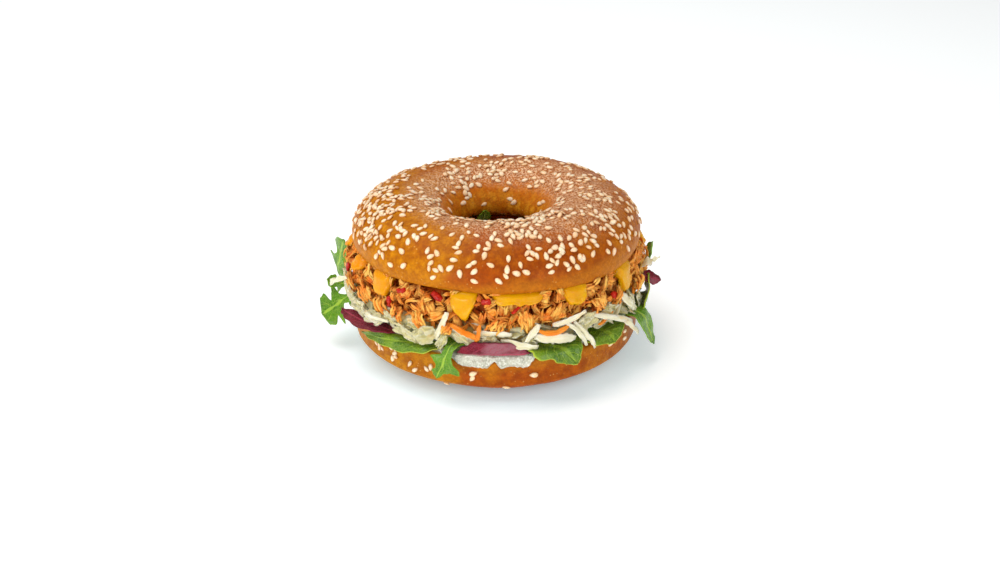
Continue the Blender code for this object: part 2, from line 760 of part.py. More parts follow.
def build_leaf_bed(parts, finish):
    """The packed leaves that the slaw lies on, inside the ends of the leaves that show."""
    low, top = CREAM_TOP + GAP, SLAW_LOW - GAP
    profile = [
        (LEAF_BED_R - 1.0 * MM, top),
        (LEAF_BED_R, 0.5 * (low + top)),
        (LEAF_BED_R - 1.0 * MM, low),
        (FILLING_HOLE_R + 0.5 * MM, low),
        (FILLING_HOLE_R, 0.5 * (low + top)),
        (FILLING_HOLE_R + 0.5 * MM, top),
    ]
    turned_ring("leaf_bed", profile, parts, finish, steps=28)


def build_leaf(leaf, parts, finish, low):
    """A grid cut to the leaf's outline, laid over the sheet's bend, and given its thickness."""
    rows = stations(leaf)
    bm = bmesh.new()
    bmesh.ops.create_grid(bm, x_segments=len(rows) - 1, y_segments=2, size=0.5)
    bmesh.ops.triangulate(bm, faces=bm.faces[:])
    turn, twist = math.radians(leaf.heading), math.radians(leaf.twist)
    for vertex in bm.verts:
        along = rows[round((vertex.co.x + 0.5) * (len(rows) - 1))]
        half = half_width_at(OUTLINES[leaf.kind], along)
        aside = 2 * vertex.co.y
        swept = LOBE_SWEEP * abs(aside) * (half if leaf.kind == "rocket" and along < 1 else 0)
        forward = (along + swept) * leaf.length * MM
        sideways = 0.5 * aside * half * leaf.width * MM
        middle = leaf.reach * MM + forward * math.cos(turn)
        free = min(1.0, max(0.0, (middle - leaf.rim * MM) / (6 * MM)))
        lift = leaf.wave * MM * free * math.sin(9 * along + 2.5 * aside)
        lift += sideways * math.sin(twist * free)
        sideways *= math.cos(twist * free)
        reach = middle - sideways * math.sin(turn)
        side = forward * math.sin(turn) + sideways * math.cos(turn)
        vertex.co = drape(leaf, reach, side, low, lift)
    bmesh.ops.recalc_face_normals(bm, faces=bm.faces[:])
    made = object_from(bm, leaf.name, parts, finish)
    wall = made.modifiers.new("thickness", "SOLIDIFY")
    wall.thickness = LEAF_THICKNESS
    wall.offset = 0.0


def smooth(obj):
    """Soft shading, with the sharp edges kept."""
    obj.data.shade_smooth()
    obj.data.set_sharp_from_angle(angle=math.radians(SHARP_DEGREES))


def main():
    for obj in list(bpy.data.objects):
        bpy.data.objects.remove(obj)
    parts = helper_collection("bagel sandwich")

    crust = material("crust", (0.62, 0.27, 0.06), 0.45)
    build_crown(parts, crust)
    build_heel(parts, crust)
    build_cream(parts, material("soft cheese", (0.93, 0.91, 0.84), 0.5))
    build_slaw(parts, material("slaw", (0.88, 0.86, 0.66), 0.4))
    build_chicken(parts, material("chicken", (0.80, 0.40, 0.13), 0.5))
    build_cheese(parts, material("melted cheese", (0.96, 0.65, 0.08), 0.3))

    green = material("green leaf", (0.16, 0.38, 0.06), 0.45)
    red = material("red leaf", (0.30, 0.05, 0.10), 0.4)
    build_leaf_bed(parts, green)
    for leaf in LEAVES:
        finish = red if leaf.name.startswith("red") else green
        low = HIGHER_LEAVES.get(leaf.name, LEAF_LOW + leaf.level * LEAF_STEP)
        build_leaf(leaf, parts, finish, low)

    axis = bpy.data.objects.new("axis", None)
    axis.location = (BAGEL_X, BAGEL_Y, 0.0)
    for obj in parts.objects:
        reshape(obj, hand_shaped)
        smooth(obj)
        obj.parent = axis
    parts.objects.link(axis)


main()
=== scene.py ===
"""Looks of a closed sesame bagel sandwich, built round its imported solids.

Every piece is modelled round the bagel's own upright axis and moved to it at the end. Azimuths are in
degrees round that axis: 0 faces the camera (-Y) and 90 is to its right (+X). Lengths are in metres
unless a name ends in _mm.
"""

import json
import logging
import math
import random
from dataclasses import dataclass, field, replace
from enum import Enum
from functools import cache
from typing import Callable, Optional, Sequence

import bmesh
import bpy
import numpy as np
from mathutils import Matrix, Vector, noise

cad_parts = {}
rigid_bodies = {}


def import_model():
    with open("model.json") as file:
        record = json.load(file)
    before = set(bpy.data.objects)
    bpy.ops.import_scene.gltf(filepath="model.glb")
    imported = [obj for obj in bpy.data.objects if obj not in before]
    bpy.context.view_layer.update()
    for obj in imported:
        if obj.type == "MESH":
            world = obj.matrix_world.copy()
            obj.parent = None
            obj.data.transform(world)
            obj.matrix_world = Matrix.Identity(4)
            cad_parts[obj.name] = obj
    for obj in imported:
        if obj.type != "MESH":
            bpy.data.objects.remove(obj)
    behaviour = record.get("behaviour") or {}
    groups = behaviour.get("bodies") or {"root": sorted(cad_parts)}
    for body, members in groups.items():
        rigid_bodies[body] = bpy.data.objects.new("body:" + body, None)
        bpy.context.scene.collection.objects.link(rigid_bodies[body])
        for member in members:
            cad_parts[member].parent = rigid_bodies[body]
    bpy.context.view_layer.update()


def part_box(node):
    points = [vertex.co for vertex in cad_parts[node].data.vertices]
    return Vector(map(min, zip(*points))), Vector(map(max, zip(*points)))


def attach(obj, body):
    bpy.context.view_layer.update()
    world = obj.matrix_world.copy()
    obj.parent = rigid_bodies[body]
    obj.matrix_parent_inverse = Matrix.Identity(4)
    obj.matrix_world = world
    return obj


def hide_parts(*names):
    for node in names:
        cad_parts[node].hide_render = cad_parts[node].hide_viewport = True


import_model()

BODY = "root"
MM = 0.001
AXIS = Vector((3.7 * MM, -1.3 * MM, 0.0))
UP = Vector((0.0, 0.0, 1.0))
NOISE_SEED = 5
LOG = logging.getLogger("bagel")

Points = np.ndarray
Colour = tuple[float, float, float]
Profile = Sequence[tuple[float, float]]
Mesh = bpy.types.Mesh
Material = bpy.types.Material
Socket = bpy.types.NodeSocket


# Places round the axis

def polar(azimuth: float, radius: float, height: float) -> Vector:
    """A point round the bagel's axis, from an azimuth in degrees."""
    turn = math.radians(azimuth)
    return Vector((radius * math.sin(turn), -radius * math.cos(turn), height))


def to_polar(points: Points) -> tuple[np.ndarray, np.ndarray, np.ndarray]:
    """Azimuths in degrees, radii and heights of an array of points."""
    azimuths = np.degrees(np.arctan2(points[:, 0], -points[:, 1]))
    return azimuths, np.hypot(points[:, 0], points[:, 1]), points[:, 2].copy()


def from_polar(azimuths: np.ndarray, radii: np.ndarray, heights: np.ndarray) -> Points:
    """The array of points that to_polar takes apart."""
    turns = np.radians(azimuths)
    return np.column_stack((radii * np.sin(turns), -radii * np.cos(turns), heights))


def turned_by(azimuth: float | np.ndarray, centre: float) -> float | np.ndarray:
    """Signed angle from centre to azimuth, or to each of an array, between -180 and 180 degrees."""
    return (azimuth - centre + 180.0) % 360.0 - 180.0


def round_axis(steps: int) -> np.ndarray:
    """Azimuths in even steps all the way round, in degrees."""
    return np.linspace(-180, 180, steps, endpoint=False)


def bump(distance: float, half_width: float) -> float:
    """1 in the middle, falling smoothly to 0 at half_width."""
    share = min(1.0, abs(distance) / half_width)
    return 0.5 + 0.5 * math.cos(math.pi * share)


def clamp(value: float, low: float = 0.0, high: float = 1.0) -> float:
    """The value held between low and high."""
    return min(high, max(low, value))


@dataclass(frozen=True)
class Layers:
    """Heights of the sandwich's layers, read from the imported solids."""

    heel_top: float
    cream_top: float
    slaw_low: float
    chicken_lip: float
    chicken_top: float
    cheese_low: float
    cheese_top: float
    crown_low: float

    @classmethod
    def from_frame(cls) -> "Layers":
        """Reads the heights off the solids' boxes.

        Returns:
            The heights.
        """
        return cls(
            heel_top=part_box("bagel_heel")[1].z,
            cream_top=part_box("soft_cheese")[1].z,
            slaw_low=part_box("slaw")[0].z,
            chicken_lip=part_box("pulled_chicken")[0].z,
            chicken_top=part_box("pulled_chicken")[1].z,
            cheese_low=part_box("pulled_chicken")[1].z + 0.3 * MM,
            cheese_top=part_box("melted_cheese")[1].z,
            crown_low=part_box("bagel_crown")[0].z,
        )


LAYERS = Layers.from_frame()


@dataclass(frozen=True)
class Bun:
    """The bun's driving sizes and its unevenness, which all the filling follows."""

    radius: float = 58.0 * MM
    hole: float = 17.0 * MM
    crest: float = 37.7 * MM
    widest: float = 3.0 * MM
    dome: float = 15.4 * MM
    dome_power: float = 1.8
    heel_widest: float = 8.1 * MM
    heel_power: float = 1.71
    flat_outer: float = 28.0 * MM
    flat_inner: float = 20.5 * MM

    def shaped(self, points: Points) -> Points:
        """Gives points the bun's slight unroundness and its crest's rise and fall.

        Args:
            points: places round a perfectly round axis.

        Returns:
            The places on the bagel as it was shaped by hand.
        """
        azimuths, radii, heights = to_polar(points)
        turns = np.radians(azimuths)
        out = np.clip((radii - self.hole) / (self.radius - self.hole), 0, 1)
        wide = 0.25 * np.cos(3 * turns) - 0.25 * np.cos(2 * turns) + 0.3 * np.sin(4 * turns)
        narrow = 0.5 * np.sin(2 * turns + 2.0) + 0.4 * np.sin(5 * turns)
        radii = radii + MM * (out * wide + (1 - out) * narrow)
        up = np.maximum(0.0, points[:, 2] - LAYERS.crown_low - self.widest) / self.dome
        heights = heights + up * MM * (0.5 * np.sin(turns + 1.0) + 0.35 * np.sin(3 * turns))
        return from_polar(azimuths, radii, heights)

    def crown_section(self, share: float) -> tuple[float, float]:
        """(radius, height) on the crown: its widest line at 0, its crest at 0.5 and the hole at 1.

        Args:
            share: the place on the section.

        Returns:
            The place's radius and height.
        """
        turn = (share if share <= 0.5 else 1 - share) * math.pi
        across = math.cos(turn) ** (2 / self.dome_power)
        up = math.sin(turn) ** (2 / self.dome_power)
        reach = self.radius - self.crest if share <= 0.5 else self.hole - self.crest
        return self.crest + reach * across, LAYERS.crown_low + self.widest + self.dome * up

    def heel_section(self, share: float) -> tuple[float, float]:
        """(radius, height) on the heel's side: its flat base at 0, its widest line at 1, upright past it.

        Args:
            share: the place on the section.

        Returns:
            The place's radius and height.
        """
        if share > 1:
            return self.radius, self.heel_widest + (share - 1) * 10 * MM
        turn = (1 - share) * math.pi / 2
        across = math.cos(turn) ** (2 / self.heel_power)
        up = math.sin(turn) ** (2 / self.heel_power)
        return self.flat_outer + (self.radius - self.flat_outer) * across, self.heel_widest * (1 - up)


BUN = Bun()


# Meshes

def array_of(items: Sequence, label: str) -> Points:
    """The vectors that a mesh's items hold.

    Args:
        items: its vertices, or its vertex normals.
        label: what each item calls its vector.

    Returns:
        One row for each item.
    """
    flat = np.empty(len(items) * 3, np.float32)
    items.foreach_get(label, flat)
    return flat.reshape(-1, 3).astype(float)


def points_of(mesh: Mesh) -> Points:
    """A mesh's vertices as an array."""
    return array_of(mesh.vertices, "co")


def normals_of(mesh: Mesh) -> Points:
    """A mesh's vertex normals as an array."""
    return array_of(mesh.vertex_normals, "vector")


def place_points(mesh: Mesh, points: Points) -> None:
    """Writes an array back to a mesh's vertices."""
    mesh.vertices.foreach_set("co", points.astype(np.float32).ravel())
    mesh.update()


def set_attribute(mesh: Mesh, name: str, values: float | Sequence[float]) -> None:
    """Stores a number for each vertex, or the same one for all, under a name."""
    layer = mesh.attributes.new(name, "FLOAT", "POINT")
    layer.data.foreach_set("value", np.full(len(mesh.vertices), values, np.float32))


def linked(name: str, data: bpy.types.ID) -> bpy.types.Object:
    """A new object in the scene.

    Args:
        name: the object's name.
        data: its mesh, light or camera.

    Returns:
        The object.
    """
    made = bpy.data.objects.new(name, data)
    bpy.context.scene.collection.objects.link(made)
    return made


def object_from(mesh: Mesh, name: str) -> bpy.types.Object:
    """A new object in the scene, with its mesh shaded smooth."""
    mesh.shade_smooth()
    return linked(name, mesh)


def mesh_from(bm: bmesh.types.BMesh, name: str) -> Mesh:
    """A mesh of what was built, which is then freed.

    Args:
        bm: what was built.
        name: the mesh's name.

    Returns:
        The mesh.
    """
    mesh = bpy.data.meshes.new(name)
    bm.to_mesh(mesh)
    bm.free()
    return mesh


def applied(carrier: bpy.types.Object) -> Mesh:
    """A plain mesh of what a carrier's modifiers make, with the carrier removed.

    Args:
        carrier: an object that has modifiers.

    Returns:
        The mesh.
    """
    depsgraph = bpy.context.evaluated_depsgraph_get()
    made = bpy.data.meshes.new_from_object(carrier.evaluated_get(depsgraph))
    bpy.data.objects.remove(carrier)
    return made


def grid_faces(rows: int, steps: int, closed_rows: bool, closed_steps: bool) -> list[tuple[int, ...]]:
    """Quads of a grid of points, which may close on itself either way.

    Args:
        rows: how many rows of points.
        steps: how many points in each row.
        closed_rows: True if the last row joins the first.
        closed_steps: True if each row's last point joins its first.

    Returns:
        The corner numbers of each quad.
    """
    last_row = rows if closed_rows else rows - 1
    last_step = steps if closed_steps else steps - 1
    faces = []
    for row in range(last_row):
        for step in range(last_step):
            here, beside = row * steps + step, row * steps + (step + 1) % steps
            down = (row + 1) % rows * steps
            faces.append((here, beside, down + (step + 1) % steps, down + step))
    return faces


def turned_mesh(name: str, rows: Sequence[Profile], closed: bool = True) -> Mesh:
    """A mesh of rows of points that each go once round the axis.

    Args:
        name: the mesh's name.
        rows: each row's (radius, height) at every step.
        closed: True if the last row joins the first.

    Returns:
        The mesh, with its faces outwards if it is closed.
    """
    steps = len(rows[0])
    azimuths = round_axis(steps)
    places = [from_polar(azimuths, *np.array(row, float).T) for row in rows]
    mesh = bpy.data.meshes.new(name)
    mesh.from_pydata(np.vstack(places).tolist(), [], grid_faces(len(rows), steps, closed, True))
    if closed and volume_of(mesh) < 0:
        mesh.flip_normals()
    return mesh


def ring_mesh(name: str, profile: Profile, steps: int) -> Mesh:
    """A closed profile turned about the axis, its rows in the profile's order."""
    return turned_mesh(name, [[place] * steps for place in profile])


def volume_of(mesh: Mesh) -> float:
    """A closed mesh's volume, negative where its faces point inwards.

    Args:
        mesh: a closed mesh.

    Returns:
        Its volume in cubic metres.
    """
    bm = bmesh.new()
    bm.from_mesh(mesh)
    volume = bm.calc_volume(signed=True)
    bm.free()
    return volume


def spaced(profile: Profile, gap: float) -> list[tuple[float, float]]:
    """A closed profile with points about a gap apart, its own corners kept.

    Args:
        profile: its corners.
        gap: the distance between points.

    Returns:
        The corners and the points between them.
    """
    found = []
    for here, there in zip(profile, list(profile[1:]) + [profile[0]]):
        count = max(1, round(math.dist(here, there) / gap))
        found += [
            (here[0] + (there[0] - here[0]) * i / count, here[1] + (there[1] - here[1]) * i / count)
            for i in range(count)
        ]
    return found


def relief(points: Points, size: float, shift: float = 0.0) -> np.ndarray:
    """Smooth random relief between about -1 and 1, with features of a size."""
    offset = Vector((shift, 0.7 * shift, -1.3 * shift))
    return np.array([noise.noise(Vector(point) / size + offset) for point in points])


def outward(points: Points) -> Points:
    """Level unit vectors that point away from the axis."""
    flat = points * np.array([1.0, 1.0, 0.0])
    return flat / np.maximum(1e-9, np.linalg.norm(flat, axis=1))[:, None]


def joined(meshes: Sequence[Mesh], name: str) -> Mesh:
    """One mesh of several, with their UV maps and attributes kept.

    Args:
        meshes: the meshes, which are left as they are.
        name: the whole's name.

    Returns:
        The whole.
    """
    bm = bmesh.new()
    for mesh in meshes:
        bm.from_mesh(mesh)
    return mesh_from(bm, name)


def sheet_of(grid: Sequence[Sequence[Vector]], ends: tuple[int, int]) -> bmesh.types.BMesh:
    """A thin sheet through a grid of points, with a UV map.

    Args:
        grid: rows of points.
        ends: the row and the column where U and V reach 1.

    Returns:
        The sheet, open to further edits.
    """
    bm = bmesh.new()
    uv_layer = bm.loops.layers.uv.new("UVMap")
    corners = [[bm.verts.new(point) for point in row] for row in grid]
    for row in range(len(grid) - 1):
        for column in range(len(grid[0]) - 1):
            spots = ((row, column), (row, column + 1), (row + 1, column + 1), (row + 1, column))
            face = bm.faces.new([corners[down][across] for down, across in spots])
            for loop, (down, across) in zip(face.loops, spots):
                loop[uv_layer].uv = (down / ends[0], across / ends[1])
    return bm


def order_faces(bm: bmesh.types.BMesh) -> None:
    """Puts faces in the order of their corners, because some tools leave them in a chance order.

    Args:
        bm: what was built, whose faces are put in order.
    """
    bm.verts.index_update()
    weights = (len(bm.verts) ** 2, len(bm.verts), 1)
    bm.faces.sort(key=lambda face: sum(
        weight * corner for weight, corner in zip(weights, sorted(vertex.index for vertex in face.verts))
    ))


@dataclass
class Piece:
    """One finished piece of the sandwich, ready to ride on the body."""

    name: str
    slot: str
    replaces: Sequence[str] = ()

    def finish(self, mesh: Mesh, material: Material) -> bpy.types.Object:
        """Shapes the mesh as the bun is shaped, moves it to the axis, dresses it and rides it.

        Args:
            mesh: the piece's mesh, modelled round a round axis at the origin.
            material: its finish.

        Returns:
            The piece's object, at the origin, with its place in its mesh.
        """
        place_points(mesh, BUN.shaped(points_of(mesh)) + np.array(AXIS))
        mesh.materials.clear()
        mesh.materials.append(material)
        mesh.name = self.name
        made = object_from(mesh, self.name)
        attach(made, BODY)
        if self.replaces:
            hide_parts(*self.replaces)
        return made


# Node trees

@dataclass
class Graph:
    """A node tree and short ways to add to it."""

    tree: bpy.types.NodeTree

    def node(self, kind: str, inputs: Optional[dict] = None, **settings: object) -> bpy.types.Node:
        """Adds a node.

        Args:
            kind: the node's type name.
            inputs: values or sockets for its inputs, by socket name or index.
            settings: the node's own options.

        Returns:
            The node.
        """
        made = self.tree.nodes.new(kind)
        for option, value in settings.items():
            setattr(made, option, value)
        for socket, value in (inputs or {}).items():
            self.feed(made.inputs[socket], value)
        return made

    def feed(self, socket: Socket, value: object) -> None:
        """Links a socket to another one, or sets its value.

        Args:
            socket: a node's input.
            value: another node's output, or a number, a vector or a colour.
        """
        if isinstance(value, Socket):
            self.tree.links.new(value, socket)
        elif isinstance(value, tuple) and socket.type == "RGBA" and len(value) == 3:
            socket.default_value = (*value, 1.0)
        else:
            socket.default_value = value

    def math(self, operation: str, first: object, second: object = 0.0) -> Socket:
        """The result of a Math node."""
        return self.node("ShaderNodeMath", {0: first, 1: second}, operation=operation).outputs[0]

    def plus(self, first: object, second: object) -> Socket:
        """The sum of two numbers."""
        return self.math("ADD", first, second)

    def minus(self, first: object, second: object) -> Socket:
        """The first number less the second."""
        return self.math("SUBTRACT", first, second)

    def times(self, first: object, second: object) -> Socket:
        """The product of two numbers."""
        return self.math("MULTIPLY", first, second)

    def vector(self, operation: str, first: object, second: object) -> Socket:
        """The result of a Vector Math node that gives a vector."""
        return self.node("ShaderNodeVectorMath", {0: first, 1: second}, operation=operation).outputs[0]

    def parts(self, vector: object) -> Sequence[Socket]:
        """A vector's X, Y and Z."""
        return self.node("ShaderNodeSeparateXYZ", {0: vector}).outputs

    def scaled(self, vector: object, scale: tuple[float, float, float]) -> Socket:
        """A vector stretched along its axes."""
        return self.node("ShaderNodeMapping", {"Vector": vector, "Scale": scale}).outputs[0]

    def span(self, value: object, low: float, high: float, start: float = 0.0,
             end: float = 1.0) -> Socket:
        """The value's place between low and high, smoothly, as a number from start to end."""
        inputs = {"Value": value, "From Min": low, "From Max": high, "To Min": start, "To Max": end}
        return self.node("ShaderNodeMapRange", inputs, interpolation_type="SMOOTHSTEP").outputs[0]

    def mix(self, factor: object, first: object, second: object) -> Socket:
        """Two colours mixed: the first at a factor of 0, the second at 1."""
        return self.node("ShaderNodeMix", {0: factor, 6: first, 7: second}, data_type="RGBA").outputs[2]

    def noise_at(self, vector: object, scale: object, detail: float = 2.0, rough: float = 0.5) -> Socket:
        """Smooth noise from 0 to 1, at a scale."""
        inputs = {"Vector": vector, "Scale": scale, "Detail": detail, "Roughness": rough}
        return self.node("ShaderNodeTexNoise", inputs).outputs["Fac"]

    def noise(self, vector: object, size: float, detail: float = 2.0, rough: float = 0.5) -> Socket:
        """Smooth noise from 0 to 1, with features of a size in metres."""
        return self.noise_at(vector, 1 / size, detail, rough)

    def cells(self, vector: object, scale: object, feature: str = "F1") -> Socket:
        """Distance to the nearest of scattered points, or to the edge between two of them."""
        inputs = {"Vector": vector, "Scale": scale}
        return self.node("ShaderNodeTexVoronoi", inputs, feature=feature).outputs["Distance"]


class ShaderGroups:
    """Node groups that several finishes share, each built once."""

    @staticmethod
    def start(name: str, numbers: Sequence[str], outputs: Sequence[str]) -> tuple[Graph, Sequence, Sequence]:
        """Starts a group that takes a vector and named numbers, and gives named numbers.

        Args:
            name: the group's name.
            numbers: the names of its inputs after Vector.
            outputs: the names of its outputs.

        Returns:
            Its graph, what it is given and what it puts out, by name.
        """
        tree = bpy.data.node_groups.new(name, "ShaderNodeTree")
        tree.interface.new_socket(name="Vector", in_out="INPUT", socket_type="NodeSocketVector")
        for label in numbers:
            tree.interface.new_socket(name=label, in_out="INPUT", socket_type="NodeSocketFloat")
        for label in outputs:
            tree.interface.new_socket(name=label, in_out="OUTPUT", socket_type="NodeSocketFloat")
        graph = Graph(tree)
        return graph, graph.node("NodeGroupInput").outputs, graph.node("NodeGroupOutput").inputs

    @staticmethod
    @cache
    def mottle() -> bpy.types.NodeTree:
        """Uneven colour: broad patches and a fine grain over them, as two masks.

        Returns:
            The group.
        """
        graph, given, out = ShaderGroups.start("uneven colour", ("Patch", "Grain"), ("Patches", "Grain"))
        patches = graph.noise_at(given["Vector"], given["Patch"], 3.0)
        grain = graph.noise_at(given["Vector"], given["Grain"])
        graph.feed(out["Patches"], graph.span(patches, 0.32, 0.68))
        graph.feed(out["Grain"], graph.span(grain, 0.3, 0.7))
        return graph.tree

    @staticmethod
    @cache
    def moist_relief() -> bpy.types.NodeTree:
        """The height of a soft food surface: folds with fine pits.

        Returns:
            The group.
        """
        graph, given, out = ShaderGroups.start("soft relief", ("Folds", "Pits"), ("Height",))
        folds = graph.noise_at(given["Vector"], given["Folds"], 4.0, 0.6)
        dips = graph.span(graph.cells(given["Vector"], given["Pits"]), 0.0, 0.45, 0.0, 0.35)
        graph.feed(out["Height"], graph.plus(folds, dips))
        return graph.tree

    @staticmethod
    @cache
    def leaf_veins() -> bpy.types.NodeTree:
        """A leaf's midrib, side veins and rim, from a UV map that runs along it and across it.

        Returns:
            The group.
        """
        graph, given, out = ShaderGroups.start(
            "leaf veins", ("Count", "Lean", "Rib"), ("Rib", "Veins", "Rim")
        )
        along, across, _ = graph.parts(given["Vector"])
        aside = graph.math("ABSOLUTE", graph.times(graph.minus(across, 0.5), 2.0))
        waver = graph.noise(given["Vector"], 0.12)
        climb = graph.minus(graph.times(along, given["Count"]), graph.times(aside, given["Lean"]))
        climb = graph.plus(climb, graph.times(waver, 0.5))
        saw = graph.math("ABSOLUTE", graph.minus(graph.math("FRACT", climb), 0.5))
        veins = graph.span(saw, 0.03, 0.11, 1.0, 0.0)
        rib = graph.math("DIVIDE", aside, given["Rib"])
        graph.feed(out["Rib"], graph.span(rib, 0.45, 1.0, 1.0, 0.0))
        graph.feed(out["Veins"], graph.times(veins, graph.span(aside, 0.6, 1.0, 1.0, 0.2)))
        graph.feed(out["Rim"], graph.span(aside, 0.9, 0.99))
        return graph.tree


@dataclass(frozen=True)
class Shine:
    """The constants of a finish's Principled shader."""

    roughness: float = 0.45
    coat: float = 0.0
    coat_roughness: float = 0.2
    subsurface: float = 0.0
    subsurface_scale: float = 1.5 * MM
    subsurface_radius: Colour = (1.0, 0.5, 0.25)
    specular: float = 0.5
    sheen: float = 0.0
    sheen_tint: Colour = (1.0, 1.0, 1.0)


class Finish:
    """A material being built: its graph, its shader and the coordinates that its patterns use."""

    def __init__(self, name: str, shine: Shine) -> None:
        """Starts a material with its shader's constants set.

        Args:
            name: the material's name.
            shine: the shader's constants.
        """
        self.material = bpy.data.materials.new(name)
        self.material.use_nodes = True
        self.graph = Graph(self.material.node_tree)
        self.shader = self.material.node_tree.nodes["Principled BSDF"]
        constants = {
            "Roughness": shine.roughness,
            "Coat Weight": shine.coat,
            "Coat Roughness": shine.coat_roughness,
            "Subsurface Weight": shine.subsurface,
            "Subsurface Scale": shine.subsurface_scale,
            "Subsurface Radius": shine.subsurface_radius,
            "Specular IOR Level": shine.specular,
            "Sheen Weight": shine.sheen,
            "Sheen Tint": shine.sheen_tint,
        }
        for socket, value in constants.items():
            self.graph.feed(self.shader.inputs[socket], value)
        place = self.graph.node("ShaderNodeTexCoord").outputs["Object"]
        centred = self.graph.node("ShaderNodeMapping", {"Vector": place, "Location": tuple(-AXIS)})
        self.coords = centred.outputs[0]

    def group(self, tree: bpy.types.NodeTree, vector: Socket, **values: float) -> Sequence[Socket]:
        """The outputs of a shared group, placed in the material with its own values."""
        return self.graph.node("ShaderNodeGroup", {"Vector": vector, **values}, node_tree=tree).outputs

    def mottle(self, patch: float, grain: float) -> tuple[Socket, Socket]:
        """Masks of broad patches and of fine grain, each of a size in metres."""
        made = self.group(ShaderGroups.mottle(), self.coords, Patch=1 / patch, Grain=1 / grain)
        return made["Patches"], made["Grain"]

    def moist_relief(self, folds: float, pits: float) -> Socket:
        """The height of soft folds and pits, each of a size in metres."""
        return self.group(ShaderGroups.moist_relief(), self.coords, Folds=1 / folds, Pits=1 / pits)["Height"]

    def radius(self) -> Socket:
        """Distance from the axis."""
        level = self.graph.vector("MULTIPLY", self.coords, (1.0, 1.0, 0.0))
        return self.graph.node("ShaderNodeVectorMath", {0: level}, operation="LENGTH").outputs["Value"]

    def uv(self) -> Socket:
        """The piece's own UV map."""
        return self.graph.node("ShaderNodeTexCoord").outputs["UV"]

    def mark(self, name: str) -> Socket:
        """A number that the piece's mesh holds under a name."""
        return self.graph.node("ShaderNodeAttribute", attribute_name=name).outputs["Fac"]

    def colour(self, socket: Socket) -> None:
        """Gives the shader its base colour."""
        self.graph.feed(self.shader.inputs["Base Color"], socket)

    def roughness(self, socket: Socket) -> None:
        """Gives the shader a roughness that changes over the surface."""
        self.graph.feed(self.shader.inputs["Roughness"], socket)

    def raise_by(self, height: Socket, depth: float, strength: float) -> None:
        """Bumps the surface by a height map, whose 1 stands for a depth in metres."""
        inputs = {"Height": height, "Distance": depth, "Strength": strength}
        self.graph.feed(self.shader.inputs["Normal"], self.graph.node("ShaderNodeBump", inputs).outputs[0])


# Finishes

